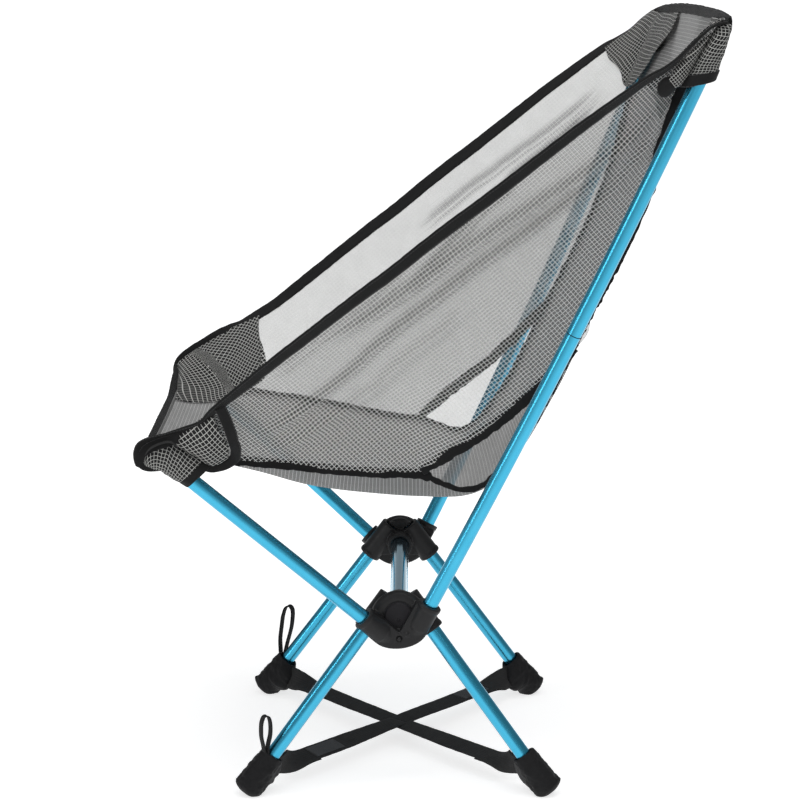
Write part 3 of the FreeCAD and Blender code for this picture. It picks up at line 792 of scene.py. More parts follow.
def keep_inside(g, side, gap=1.6, axis=None, clear=8.6):
    """Move a grid of points to the inside of the seat panels, and clear of a pole whose axis is (a, b)."""
    out = g.copy()
    n, m = g.shape[:2]
    for _ in range(3):
        for tree, pts, nor in SURFACES[side]:
            for i in range(n):
                for j in range(m):
                    _, k_, dist = tree.find(Vector(out[i, j]))
                    if dist > 40:
                        continue
                    d_ = float((out[i, j] - pts[k_]) @ nor[k_])
                    if d_ < gap:
                        out[i, j] += nor[k_] * (gap - d_)
        if axis is not None:
            a_, b_ = A(axis[0]), A(axis[1])
            dd = unit(b_ - a_)
            for i in range(n):
                for j in range(m):
                    t_ = min(float((out[i, j] - a_) @ dd), float(np.linalg.norm(b_ - a_)))
                    c_ = a_ + dd * t_
                    dyz = math.hypot(out[i, j, 1] - c_[1], out[i, j, 2] - c_[2])
                    if dyz < clear:
                        out[i, j, 0] = min(out[i, j, 0], c_[0] - math.sqrt(clear * clear - dyz * dyz))
        for _k in range(2):
            out[1:-1, 1:-1] = 0.5 * out[1:-1, 1:-1] + 0.125 * (out[:-2, 1:-1] + out[2:, 1:-1] + out[1:-1, :-2] + out[1:-1, 2:])
    return out


# ------------------------------------------------------------------ seat pieces
SEAT_PIECES = []
POCKET_LAYERS = []


def seat_piece(ob, slot, *replaced):
    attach(ob, "seat")
    if replaced:
        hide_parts(*replaced)
    SEAT_PIECES.append(ob)
    return ob


centre = single("centre_panel", cen, cen_uv, MAT_CENTRE)
# the centre panel is made more opaque towards its upper outer corners
dense = np.clip((SC - 0.80) / 0.06, 0, 1) * np.clip((np.abs(TC) - 0.25) / 0.2, 0, 1) * 0.25
at_ = centre.data.attributes.new("extra_opacity", "FLOAT", "POINT")
at_.data.foreach_set("value", dense.astype(np.float32).ravel())
seat_piece(centre, "ripstop", "seat_centre_panel")

hem_front_path = resample([(213, -207.5, 301), (196, -208, 298.5), (172, -208.5, 294.5), (148, -208.5, 289.5), (122, -208, 286.5), (60, -207.5, 287), (0, -207, 288.3),
                           (-60, -207.5, 287), (-122, -208, 286.5), (-148, -208.5, 289.5), (-172, -208.5, 294.5), (-196, -208, 298.5), (-213, -207.5, 301)], 140)
front_hem = tape("front_hem_tape", hem_front_path, np.tile(A((0, 0.66, -0.75)), (141, 1)), 9.5, 1.5, MAT_TAPE, seed=3, wob=0.35)
seat_piece(front_hem, "binding_tape", "front_hem")

hem_o, hem_i = resample(HEM_OUT, 150, 1), resample(HEM_IN, 150, 1)
hv = np.linspace(0, 1, 9)[None, :, None]
hem_g = hem_o[:, None] * (1 - hv) + hem_i[:, None] * hv
hem_g[:, :, 1] += (0.9 * np.sin(hv[:, :, 0] * math.pi))
wv_ = A([0.5 * rnd(i / 9.0, 4.4) for i in range(len(hem_o))])
hem_g[:, :, 1] += wv_[:, None]
hem_g[:, :, 2] += 0.35 * A([rnd(i / 7.0, 8.4) for i in range(len(hem_o))])[:, None]
hs = np.r_[0, np.cumsum(np.linalg.norm(np.diff(hem_o, axis=0), axis=1))]
hem_uv = np.stack([np.repeat(hs[:, None], 9, 1), np.repeat(((hv[0, :, 0] - 0.5) * 9.6)[None], len(hs), 0)], axis=2)
top_hem = shell("top_hem_tape", hem_g, hem_uv, 1.8, MAT_TAPE)
fix_normals(top_hem)
seat_piece(top_hem, "binding_tape", "top_hem")

for side in ("left", "right"):
    mir = side == "right"
    # side panel
    panel = single("side_panel_" + side, *side_grids[side], MAT_SHEER, mir)
    # painted crease shade: the ridges' flanks are made more opaque, so they read darker
    at_ = panel.data.attributes.new("extra_opacity", "FLOAT", "POINT")
    at_.data.foreach_set("value", CREASE_SHADE[side].astype(np.float32).ravel())
    seat_piece(panel, "ripstop", "seat_side_panel_" + side)

    # upper edge binding, from the top corner down the edge and round the front pole's tip
    side_high, side_low, side_rest = SIDE_HIGH[side], SIDE_LOW[side], SIDE_REST[side]
    path = resample(FRONT_WRAP[side] + BINDINGS[side] + TOP_S[side], 340)
    ref_k = [int(np.argmin(np.linalg.norm(side_high - p, axis=1))) for p in path]
    ac = A([side_rest[kk, -1] - side_rest[kk, -12] for kk in ref_k])
    ac = unit(ac)
    centre_tip = A((212, -190, 296))
    blendw = np.clip((-150 - path[:, 1]) / 30, 0, 1)[:, None]
    radial = unit(path - A((214, -186, 292)))
    radial[:, 0] *= 0.2
    ac = unit(ac * (1 - blendw) + radial * blendw)
    for _ in range(8):
        ac[1:-1] = unit(0.25 * ac[:-2] + 0.5 * ac[1:-1] + 0.25 * ac[2:])
    wv = np.interp(path[:, 1], [-205, -185, -150, 300], [9.6, 10.2, 11.8, 11.8])
    wv[path[:, 2] < 289] = np.interp(path[path[:, 2] < 289][:, 1], [-210, -190], [7.5, 3.5])
    b = tape("edge_binding_" + side, path - ac * 1.0, ac, 11.8, 2.2, MAT_TAPE, mir, seed=11 if mir else 10, wob=0.22, closed_w=wv)
    seat_piece(b, "binding_tape", "top_binding_" + side)

    # seam between the centre panel and the side
    path = resample(([(170.5, -147, 286.3)] if mir else []) + SEAM_A + SEAM_C + SEAM_D[side], 280)
    if not mir:
        out_ = np.clip((path[:, 2] - 505) / 40, 0, 1)
        out_ = (out_ * out_ * (3 - 2 * out_))[:, None]
        path = path + out_ * A((9.0, -3.0, 0.0))
    tn = unit(np.gradient(path, axis=0))
    ac = unit(np.cross(tn, A((1, 0, 0.25))))
    for _ in range(8):
        ac[1:-1] = unit(0.25 * ac[:-2] + 0.5 * ac[1:-1] + 0.25 * ac[2:])
    nn = unit(np.cross(tn, ac))
    wav = A([0.9 * rnd(i / 6.0, 2.5) for i in range(len(path))])[:, None]
    sw = np.interp(path[:, 2] + np.where(path[:, 1] < 25, -1000, 0), [-800, -700, 254, 262, 420, 490, 530], [8.6, 8.6, 7.0 if mir else 4.8, 7.0 if mir else 4.8, 7.0 if mir else 5.4, 7.5, 10.5])
    if mir:
        keep = path[:, 2] < 562
    else:
        keep = path[:, 2] < 630
    ruff = A([1.1 * rnd(i / 2.3, 6.5) for i in range(len(path))]) * np.clip((path[:, 2] - 270) / 30, 0, 1) * np.clip((460 - path[:, 2]) / 40, 0, 1)
    path = path + nn * wav + ac * ruff[:, None]
    b = tape("seam_tape_" + side + "_visual", path[keep], ac[keep], 9.4, 2.0, MAT_SEAM, mir, seed=21 if mir else 20, wob=0.6, closed_w=sw[keep])
    seat_piece(b, "binding_tape", "seam_tape_" + side)

    # vent hole's upper edge
    path = resample(SEAM_B, 132)[:121]
    tn = unit(np.gradient(path, axis=0))
    ac = unit(np.cross(tn, A((1, 0, 0.25))))
    path = path + A([(0, 0.5 * rnd(i / 5.0, 3.1), 0.6 * rnd(i / 4.0, 5.5)) for i in range(len(path))])
    b = tape("vent_edge_" + side, path, ac, 10.0, 2.0, MAT_SEAM, mir, seed=31 if mir else 30, wob=0.6,
             closed_w=np.interp(np.linspace(0, 1, len(path)), [0, 0.15, 0.85, 1], [7.5, 10.2, 9.6, 6.0]))
    seat_piece(b, "binding_tape", "vent_tape_" + side)

    # front corner: inner layer
    patch_low = [(124, -206.5, 286.5), (140, -190, 284.5), (156, -170, 282.5), (170, -146, 281.5)]
    patch_top = [(214, -207, 300), (217, -196, 306.5), (219, -182, 310.5), (220.5, -160, 321), (222, -141, 335)]
    patch_front = [(124, -206.5, 286.5), (148, -207.5, 290), (172, -207.5, 295), (196, -207.5, 299), (214, -207, 300)]
    patch_rear = [(170, -146, 281.5), (186, -137, 287), (200, -133, 296), (211, -134, 309), (218, -137, 321), (222, -141, 335)]
    if mir:
        patch_low = [(95, -204.5, 287.5), (112, -190, 284.0), (126, -175, 282.0), (142, -160, 281.5), (160, -142, 281.0)]
        patch_front = [(95, -204.5, 287.5), (130, -206, 288.5), (165, -206.5, 293.5), (196, -208, 296), (208, -210, 296)]
        patch_top = [(208, -210, 296), (207, -208.5, 305), (208, -203, 311), (212, -193, 317.5), (215, -181, 324.5), (220, -160, 336), (222.5, -131, 347)]
        patch_rear = [(160, -142, 281.0), (185, -133, 286), (204, -128, 297), (216, -127.5, 313), (220, -130, 336), (222.5, -131, 347)]
    g = coons(patch_top, patch_low, patch_front[::-1], patch_rear[::-1], 60, 60)
    g = g[:, ::-1]
    nrm_ = normals_of(g)
    ii, jj = np.meshgrid(np.linspace(0, 1, 60), np.linspace(0, 1, 60), indexing="ij")
    wr = A([[noise.noise(Vector((a * 4.0, b_ * 4.0, 2.2 + (5 if mir else 0)))) for b_ in jj[0]] for a in ii[:, 0]])
    bulge = 4 * ii * (1 - ii) * 4 * jj * (1 - jj)
    g = g + nrm_ * (wr * 3.0 * bulge)[:, :, None]
    g = keep_inside(g, side, 1.6, ((157, 4.8, 122), (211.4, -201, 304.6)), 8.8)
    # the cloth turns along a fold, so its threads change direction there
    turn = np.clip((ii + 0.55 * jj - 0.78) / 0.10, 0, 1)
    turn = (turn * turn * (3 - 2 * turn))[:, :, None]
    ua_, va_ = (g @ E1)[:, :, None], (g @ E2)[:, :, None]
    ct_, st_ = math.cos(0.55), math.sin(0.55)
    uvp = np.concatenate([ua_ + (ua_ * ct_ - va_ * st_ - ua_) * turn, va_ + (ua_ * st_ + va_ * ct_ - va_) * turn], axis=2)
    uvp = uvp + np.stack([1.8 * np.sin(jj * 6.0 + 2.0 * np.sin(ii * 4.0)), 1.8 * np.sin(ii * 7.0 + 1.5 * np.sin(jj * 5.0))], axis=2)
    inner = shell("front_pocket_inner_" + side, g, uvp, 0.5, MAT_POCKET, mir)
    fix_normals(inner)
    seat_piece(inner, "ripstop")
    POCKET_LAYERS.append((inner.name, g, "edge_binding_" + side))

    # front pocket sleeve round the pole's end
    up_e = resample([(-204.5, 294.5), (-204.0, 303.0), (-200.0, 308.5), (-193.0, 310.6), (-186.2, 309.8), (-180, 307.5), (-175.1, 303.7), (-170.3, 300.5), (-164, 296.5), (-158.4, 292.4), (-151.5, 287.2)], 60, 0)
    lo_e = resample([(-204.0, 291.0), (-201.5, 288.2), (-197.4, 286.6), (-192, 283.8), (-185.7, 279.6), (-178.4, 274.9), (-170.0, 269.8)], 60, 0)
    NR, MR = 61, 48
    gs = np.zeros((NR, MR, 3))
    for i in range(NR):
        a2, b2 = up_e[i], lo_e[i]
        mid2, half2 = (a2 + b2) / 2, (a2 - b2) / 2
        f = (4.8 - mid2[0]) / 205.8
        px = 157 + 54.4 * min(max(f, 0.0), 1.0)
        s = i / (NR - 1)
        bell = math.sqrt(max(0.0, min(1.0, s / 0.16)))
        xh = 9.2 * bell + 1.2
        for j in range(MR):
            th = 2 * math.pi * j / MR
            c, sn = math.cos(th), math.sin(th)
            cc = math.copysign(abs(c) ** 0.8, c)
            ss_ = math.copysign(abs(sn) ** 0.9, sn)
            r_w = 1.0 + 0.05 * rnd(s * 7, j / MR * 5, 3) * min(1, s * 4)
            y, z = mid2 + half2 * cc * r_w
            gs[i, j] = (px + 0.6 + xh * ss_ * r_w, y, z)
    per = np.cumsum(np.linalg.norm(gs - np.roll(gs, 1, axis=1), axis=2), axis=1)
    lon = np.cumsum(np.linalg.norm(np.gradient(gs, axis=0), axis=2).mean(1))
    # the cloth's threads lie at 45 degrees to the pole
    ua = gs @ E1
    va = per
    uvs = np.stack([lon[:, None] + per * 0.12, per - lon[:, None] * 0.12], axis=2) * 1.06
    closed = np.concatenate([gs, gs[:, :1]], axis=1)
    uvc = np.concatenate([uvs, uvs[:, -1:] + (uvs[:, -1:] - uvs[:, -2:-1])], axis=1)
    sl = shell("front_pocket_sleeve_" + side, closed, uvc, 0.6, MAT_POCKET, mir)
    fix_normals(sl)
    seat_piece(sl, "ripstop", "front_pocket_" + side)
    POCKET_LAYERS.append((sl.name, closed, "front_pocket_mouth_" + side))

    # dark strip in the pocket's throat, between the binding and the sleeve, as painted shade of the opening, with the
    # sleeve's folded edge above it
    th_top = [(221.5, -206.6, 292.4), (221.8, -207.0, 300.2), (222.0, -201.9, 307.0), (222.0, -192.2, 311.5), (221.0, -181.1, 314.6), (220.0, -173.9, 316.8)]
    th_bot = [(222.6, -203.0, 292.6), (223.8, -201.9, 297.3), (224.2, -196.2, 301.3), (224.2, -189.0, 304.2), (223.4, -181.1, 306.4), (221.6, -175.5, 308.4)]
    ta, tb = resample(th_top, 70, 1), resample(th_bot, 70, 1)
    tv = np.linspace(0, 1, 14)[None, :, None]
    tg = ta[:, None] * (1 - tv) + tb[:, None] * tv
    tg[:, :, 0] += -1.6 * np.sin(np.pi * tv[:, :, 0]) * np.sin(np.linspace(0, 1, 71) * np.pi)[:, None] + 0.8
    b = shell("front_pocket_slit_shade_" + side, tg, np.stack([tg[:, :, 1], tg[:, :, 2]], axis=2), 0.8, MAT_SEAM, mir)
    fix_normals(b)
    seat_piece(b, "binding_tape")
    slit = resample([(225.6, -201.4, 299.1), (225.9, -199.3, 302.7), (225.9, -195.3, 305.9), (225.7, -190.5, 308.1), (225.2, -184.9, 309.6), (224.6, -180.9, 309.4), (223.8, -178.2, 307.2), (222.6, -175.4, 304.3)], 60)
    tn = unit(np.gradient(slit, axis=0))
    b = tape("front_pocket_fold_" + side, slit, unit(np.cross(tn, A((1, 0, 0)))), 1.5, 1.2, MAT_WEB, mir, seed=45, wob=0.12,
             closed_w=np.interp(np.linspace(0, 1, 61), [0, 0.2, 0.75, 1], [0.8, 1.7, 1.9, 0.8]))
    fix_normals(b)
    seat_piece(b, "binding_tape")

    # front pocket's rear lobe
    lb_top = [(219, -181, 311.0), (220, -172.5, 315.9), (221, -166, 319.5), (221.5, -158.9, 323.2), (222, -148, 330)]
    lb_right = [(222, -148, 330), (221.5, -142.6, 317.5), (219, -138.7, 310.2), (214, -135.5, 300.5), (208, -137, 293.2)]
    lb_bot = [(211, -156.5, 291.0), (209, -150.5, 287.6), (207, -144.1, 288.5), (208, -137, 293.2)]
    lb_left = [(219, -181, 311.0), (216.5, -175.5, 304.4), (215, -170.3, 300.8), (213, -164, 296.8), (211, -156.5, 291.0)]
    g = coons(lb_top, lb_bot, lb_left, lb_right, 50, 44)
    ii, jj = np.meshgrid(np.linspace(0, 1, 50), np.linspace(0, 1, 44), indexing="ij")
    bulge = (4 * ii * (1 - ii)) ** 0.7 * (4 * jj * (1 - jj)) ** 0.7
    g[:, :, 0] += 5.5 * bulge + 1.0 * np.sin(ii * 9 + jj * 5) * bulge
    uvp = np.stack([g @ E1, g @ E2], axis=2)
    lobe = shell("front_pocket_lobe_" + side, g, uvp, 0.6, MAT_POCKET, mir)
    fix_normals(lobe)
    seat_piece(lobe, "ripstop")
    POCKET_LAYERS.append((lobe.name, g, "pocket_tape_" + side))

    # tape down the pocket's rear edge, then forward along its foot to the sleeve
    path = resample([(222.5, -141.5, 337), (222, -137.2, 327), (220.5, -133.8, 317.5), (217, -131.2, 307.8), (211.5, -130.0, 299.7), (206, -131.6, 293.2),
                     (203, -136.5, 288.6), (203, -143, 285.6), (205, -150, 284.8), (209, -157, 287.0)], 90)
    ctr = A((205, -160, 310))
    ac = unit(path - ctr)
    ac[:, 0] *= 0.3
    wv = np.interp(np.linspace(0, 1, 91), [0, 0.5, 0.7, 1.0], [9.6, 9.6, 8.0, 6.0])
    b = tape("pocket_tape_" + side, path + A((1.4, 0, 0)), ac, 9.5, 1.6, MAT_TAPE, mir, seed=41 if mir else 40, wob=0.35, closed_w=wv)
    fix_normals(b)
    seat_piece(b, "binding_tape")

    # bound mouth of the sleeve
    last, prev = gs[-1], gs[-4]
    axis = unit(last.mean(0) - prev.mean(0))
    ring = np.concatenate([last, last[:2]], axis=0) - axis * 3.0
    cen_r = last.mean(0)
    ring = cen_r - axis * 3.0 + (ring - (cen_r - axis * 3.0)) * 1.03
    b = tape("front_pocket_mouth_" + side, ring, np.tile(axis, (len(ring), 1)), 7.6, 1.6, MAT_TAPE, mir, seed=51, wob=0.2)
    fix_normals(b)
    seat_piece(b, "binding_tape")

    # ---- top corner: inner layer
    tp_hem = [(160, 256.0, 640), (190, 255.8, 640), (222, 254.8, 640), (250, 251.5, 641)]
    tp_bind = [(250, 251.5, 641), (251, 236, 632), (252, 224, 621), (253, 206, 604), (254, 192, 592.5)]
    tp_low = [(201, 205.5, 563), (214, 207, 568), (228, 206.5, 575.5), (242, 200, 584), (254, 192, 592.5)]
    tp_in = [(201, 205.5, 563), (193, 218, 585), (180, 236, 612), (160, 256.0, 640)]
    if mir:
        tp_hem = [(70, 244.5, 637.5), (130, 242.5, 634.6), (195, 239.2, 631.5), (244, 237.5, 631)]
        tp_bind = [(244, 237.5, 631), (249, 230.5, 625.5), (250.5, 221, 617), (252, 208, 605), (252.5, 194, 594.5)]
        tp_low = [(170, 216.3, 574.6), (190, 212, 567), (205, 207.5, 565), (216, 207.5, 574), (228, 205.6, 578.4), (240, 198.2, 584.1), (252.5, 194, 594.5)]
        tp_in = [(170, 216.3, 574.6), (150, 223.5, 588), (130, 229.5, 602), (75, 237.0, 621), (70, 244.5, 637.5)]
    g = coons(tp_hem, tp_low, tp_in[::-1], tp_bind, 56, 56)
    ii, jj = np.meshgrid(np.linspace(0, 1, 56), np.linspace(0, 1, 56), indexing="ij")
    nrm_ = normals_of(g)
    bulge = (4 * ii * (1 - ii)) * (4 * jj * (1 - jj))
    wr = A([[noise.noise(Vector((a * 3.0, b_ * 4.0, 7.2 + (5 if mir else 0)))) for b_ in jj[0]] for a in ii[:, 0]])
    g = g + nrm_ * (wr * 3.0 * bulge)[:, :, None]
    g = keep_inside(g, side, 2.2, ((157, 4.8, 122), (245, 244, 623)), 8.8)
    # threads follow the centre panel on its side of the seam
    wc = np.clip((203 - g[:, :, 0]) / 4.0, 0, 1)[:, :, None]
    wav_p = 0.9 * np.sin(jj * 7.0 + 2.5 * np.sin(ii * 5.0))
    uvp = (np.stack([g @ E1, g @ E2], axis=2) * (1 - wc) + np.stack([g[:, :, 2] * 1.0, g[:, :, 0]], axis=2) * wc + wav_p[:, :, None]) * 1.02
    b = shell("top_pocket_inner_" + side, g, uvp, 0.5, MAT_POCKET, mir)
    fix_normals(b)
    seat_piece(b, "ripstop")
    POCKET_LAYERS.append((b.name, g, "edge_binding_" + side))

    # ---- top pocket sleeve round the rear pole's end; rows run from the corner down to the mouth
    lft = resample([(246, 640), (240, 631), (236.5, 624.8), (232.8, 618.7), (229.8, 613.3), (226.0, 607.2), (222.0, 600.0), (219.0, 592.5)], 60, 0)
    rgt = resample([(256.5, 641), (256.3, 637), (254.8, 631.7), (253.4, 626.3), (251.2, 619.4), (249.0, 612.5), (246.9, 605.6), (244.2, 597.5)], 60, 0)
    if mir:
        lft = resample([(239.5, 632.5), (237.5, 629.5), (235.5, 624.8), (232.8, 618.7), (229.8, 613.3), (226.0, 607.2), (222.0, 600.0), (219.0, 592.5)], 60, 0)
        rgt = resample([(248.5, 633.2), (252.0, 632.0), (253.5, 629.5), (253.4, 625.8), (251.2, 619.4), (249.0, 612.5), (246.9, 605.6), (244.2, 597.5)], 60, 0)
    gs2 = np.zeros((61, MR, 3))
    for i in range(61):
        a2, b2 = lft[i], rgt[i]
        mid2, half2 = (a2 + b2) / 2, (b2 - a2) / 2
        s = i / 60
        px = 245 - (623 - min(mid2[1], 623)) / 501.0 * 88.0
        px = px + 3.0 * max(0.0, 1 - s * 3)
        bell = math.sqrt(max(0.0, min(1.0, (s + 0.02) / 0.25)))
        xh = 9.6 * bell + 0.8
        for j in range(MR):
            th = 2 * math.pi * j / MR
            c, sn = math.cos(th), math.sin(th)
            cc = math.copysign(abs(c) ** 0.8, c)
            ss_ = math.copysign(abs(sn) ** 0.9, sn)
            r_w = 1.0 + 0.06 * rnd(s * 6, j / MR * 5, 8)
            y, z = mid2 + half2 * cc * r_w
            gs2[i, j] = (px + 0.8 + xh * ss_ * r_w, y, z)
    per = np.cumsum(np.linalg.norm(gs2 - np.roll(gs2, 1, axis=1), axis=2), axis=1)
    lon = np.cumsum(np.linalg.norm(np.gradient(gs2, axis=0), axis=2).mean(1))
    swirl = 2.6 * np.sin(lon[:, None] / 9.0 + 1.3 * np.sin(per / 11.0))
    uvs = np.stack([lon[:, None] + per * 0.25 + swirl, per - lon[:, None] * 0.25 + 0.6 * swirl], axis=2) * 1.14
    closed = np.concatenate([gs2, gs2[:, :1]], axis=1)
    uvc = np.concatenate([uvs, uvs[:, -1:] + (uvs[:, -1:] - uvs[:, -2:-1])], axis=1)
    sl = shell("top_pocket_sleeve_" + side, closed, uvc, 0.6, MAT_POCKET, mir)
    fix_normals(sl)
    seat_piece(sl, "ripstop", "top_pocket_" + side)
    POCKET_LAYERS.append((sl.name, closed, "top_pocket_mouth_" + side))
    last, prev = gs2[-1], gs2[-4]
    axis = unit(last.mean(0) - prev.mean(0))
    cen_r = last.mean(0)
    ring = np.concatenate([last, last[:2]], axis=0) - axis * 4.0
    ring = cen_r - axis * 4.0 + (ring - (cen_r - axis * 4.0)) * 1.03
    b = tape("top_pocket_mouth_" + side, ring, np.tile(axis, (len(ring), 1)), 9.0, 1.6, MAT_TAPE, mir, seed=61, wob=0.2)
    fix_normals(b)
    seat_piece(b, "binding_tape")

    # front flap of the top pocket, between the binding and the sleeve
    fl_top = [(252, 214.0, 608.5), (253, 223, 617.5), (253.5, 232, 627), (252, 240, 634)]
    fl_bot = [(252, 208.6, 594.5), (251.5, 215, 592.5), (250, 222, 600), (249, 233, 620)]
    fl_l = [(252, 214.0, 608.5), (253, 210.0, 603.0), (253, 208.2, 598.5), (252, 208.6, 594.5)]
    fl_r = [(252, 240, 634), (251, 237, 628), (249, 233, 620)]
    g = coons(fl_top, fl_bot, fl_l, fl_r, 40, 24)
    ii, jj = np.meshgrid(np.linspace(0, 1, 40), np.linspace(0, 1, 24), indexing="ij")
    g[:, :, 0] += 3.5 * (4 * jj * (1 - jj)) ** 0.6 * (1 - 0.5 * ii)
    uvp = np.stack([g @ E1, g @ E2], axis=2) * 1.45
    b = shell("top_pocket_flap_" + side, g, uvp, 0.6, MAT_POCKET, mir)
    fix_normals(b)
    seat_piece(b, "ripstop")
    POCKET_LAYERS.append((b.name, g, "edge_binding_" + side))

    # folded end of the mouth tape, in front of the pole
    lob_g = coons([(250, 200.0, 594.0), (252, 204, 599), (252, 210, 601)], [(249, 203.0, 585.0), (249.5, 207.5, 585.5), (249, 213.5, 590.5)],
                  [(250, 200.0, 594.0), (250, 200.2, 588.5), (249, 203.0, 585.0)], [(252, 210, 601), (251, 212.5, 596), (249, 213.5, 590.5)], 24, 20)
    ii, jj = np.meshgrid(np.linspace(0, 1, 24), np.linspace(0, 1, 20), indexing="ij")
    lob_g[:, :, 0] += 4.5 * (4 * ii * (1 - ii)) ** 0.6 * (4 * jj * (1 - jj)) ** 0.6
    b = shell("top_pocket_fold_" + side, lob_g, np.stack([lob_g[:, :, 1], lob_g[:, :, 2]], axis=2), 1.2, MAT_TAPE, mir)
    fix_normals(b)
    seat_piece(b, "binding_tape")

# ------------------------------------------------------------------ feet: boots, straps, loops
FEET = {"front": A((162.4, -120.8, 12.0)), "rear": A((161.3, 119.1, 12.0))}
LEG_APEX = A((140.0, 0.0, 175.2))
CROSS = A((0, -0.8, 17.2))
for k in ("front", "rear"):
    e = FEET[k]
    d = unit(LEG_APEX - e)
    out_y = -1.0 if k == "front" else 1.0
    # axes across the leg: ex towards the outside in the side view, and sx sideways
    outw = unit(A((0.15, out_y, 0)) - d * (A((0.15, out_y, 0)) @ d))
    sx = unit(np.cross(d, outw))
    if sx[0] < 0:
        sx = -sx
    inward = unit(A((CROSS[0] - e[0], CROSS[1] - e[1], 0)))
    inward_p = unit(inward - d * (inward @ d))
    for side in ("left", "right"):
        mir = side == "right"
        seed = 3.0 if mir else 0.0
        NB, MB = 44, 64
        g = np.zeros((NB, MB, 3))
        for i in range(NB):
            s = i / (NB - 1)
            al = -12.9 + s * (26.2 + 12.9)
            r = float(np.interp(al, [-12.9, -12.5, -11.5, -9.6, -7.4, -4.0, 0.0, 5.0, 12.0, 20.0, 26.2], [0.3, 4.6, 8.2, 10.8, 12.0, 12.5, 12.4, 11.9, 11.3, 10.6, 9.8]))
            for j in range(MB):
                th = 2 * math.pi * j / MB
                dirv = outw * math.cos(th) + sx * math.sin(th)
                rr = r
                away = abs((th + math.pi) % (2 * math.pi) - math.pi)
                # nub low on the outside, with a dent above it
                rr += 1.3 * math.exp(-(away / 0.55) ** 2) * math.exp(-((al + 7.4) / 2.6) ** 2)
                rr -= 0.5 * math.exp(-(away / 0.7) ** 2) * math.exp(-((al + 1.6) / 2.0) ** 2)
                # spread into the strap
                cs_ = max(0.0, float(dirv @ inward_p))
                rr += (12.5 if mir else 11.0) * cs_ ** 5 * math.exp(-((al - 13.0) / 11.5) ** 4)
                # creases
                cr_ = 0.045 * rnd(al / 6.0 + seed + 3 * (k == "rear"), math.cos(th) * 1.6, math.sin(th) * 1.6) + 0.025 * rnd(al / 2.6, math.cos(th) * 3.5, math.sin(th) * 3.5 + seed)
                rr *= 1.0 + cr_ * min(1.0, (al + 13) / 5.0)
                # a fold running down from the strap
                rr += 0.9 * math.exp(-(((th - 1.35 - 0.045 * al + math.pi) % (2 * math.pi) - math.pi) / 0.16) ** 2) * math.exp(-((al - 8) / 10.0) ** 2)
                p = e + d * al + dirv * rr
                p[2] = max(p[2], 0.15)
                g[i, j] = p
        per = np.cumsum(np.linalg.norm(g - np.roll(g, 1, axis=1), axis=2), axis=1)
        uvb = np.stack([per, np.repeat(np.linspace(0, 40, NB)[:, None], MB, 1)], axis=2)
        closed = np.concatenate([g, g[:, :1]], axis=1)
        uvc = np.concatenate([uvb, uvb[:, -1:] + 1], axis=1)
        n_, m_ = NB, MB
        pts = g.reshape(-1, 3)
        faces = grid_faces(NB, MB, 0, False, wrap=True)
        # rolled rim and inner wall
        rim = []
        for k2, (dr, da) in enumerate(((-0.5, 0.7), (-1.3, 0.5), (-1.8, -1.5), (-2.1, -6.0))):
            ringp = []
            for j in range(MB):
                c0 = e + d * 26.2
                v = g[-1, j] - c0
                L = np.linalg.norm(v)
                ringp.append(c0 + v * max(0.0, (L + dr)) / L + d * da)
            rim.append(ringp)
        pts = np.vstack([pts, A(rim).reshape(-1, 3)])
        faces += grid_faces(5, MB, (NB - 1) * MB, False, wrap=True)
        uvall = np.vstack([uvb.reshape(-1, 2), np.stack([np.tile(uvb[-1, :, 0], 4), np.repeat(np.array([41, 42, 43, 47.0]), MB)], axis=1)])
        bottom = list(range(MB))
        faces.append(bottom)
        if mir:
            pts = flip(pts)
        ob = make_mesh(k + "_boot_shell_" + side, pts, faces, MAT_BOOT, uvall)
        fix_normals(ob)
        body = k + "_leg_" + side
        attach(ob, body)
        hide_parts(k + "_boot_" + side)

        # strap arm from the crossing to the boot
        sgn = -1 if mir else 1
        end = e + d * 15.0 + inward_p * 10.0
        # the strap over the other at the crossing: front left to rear right
        over = (k == "front") != mir
        lift = 0.75 if over else -0.75
        twist = {("front", "left"): 18, ("rear", "left"): 12, ("front", "right"): 8, ("rear", "right"): 7}[(k, side)]
        c = CROSS + A((0, 0, lift))
        cpts = [c, c + (end - c) * 0.12 + A((0, 0, 0.2)), c + (end - c) * 0.5 + A((0, 0, -0.8)), c + (end - c) * 0.84 + A((0, 0, -0.6)), end]
        path = resample(cpts, 110)
        if True:
            back = unit(c - path[6])
            path[0] = c
        hor = unit(A((-inward[1], inward[0], 0)))
        acs = []
        for i in range(len(path)):
            s = i / (len(path) - 1)
            f_ = min(1.0, s / 0.5)
            tw = math.radians(5 + (twist - 5) * f_ * f_ * (3 - 2 * f_))
            tanv = unit(path[min(i + 1, len(path) - 1)] - path[max(i - 1, 0)])
            upv = unit(np.cross(tanv, hor))
            if upv[2] < 0:
                upv = -upv
            lean = (1 if hor[0] < 0 else -1) * (-1 if mir else 1)
            flat = hor * math.cos(tw) + upv * math.sin(tw) * lean
            # the end stands up along the leg, sewn round the boot
            at_end = d if flat[2] > 0 else -d
            g_ = min(1.0, max(0.0, (s - 0.72) / 0.24))
            g_ = g_ * g_ * (3 - 2 * g_)
            acs.append(unit(flat * (1 - g_) + at_end * g_))
        ws = np.interp(np.linspace(0, 1, 111), [0, 0.80, 1.0], [20, 20, 18.5])
        arm = tape("strap_arm_" + k + "_" + side, path, acs, 20.0, 1.3, MAT_WEB, mir, seed=70 + (1 if mir else 0), wob=0.15, closed_w=ws)
        fix_normals(arm)
        P1 = path[40].copy()
        P2 = path[104].copy()
        for P_ in (P1, P2):
            P_[1] += Y_SHIFT
            if mir:
                P_[0] *= -1
        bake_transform(arm)
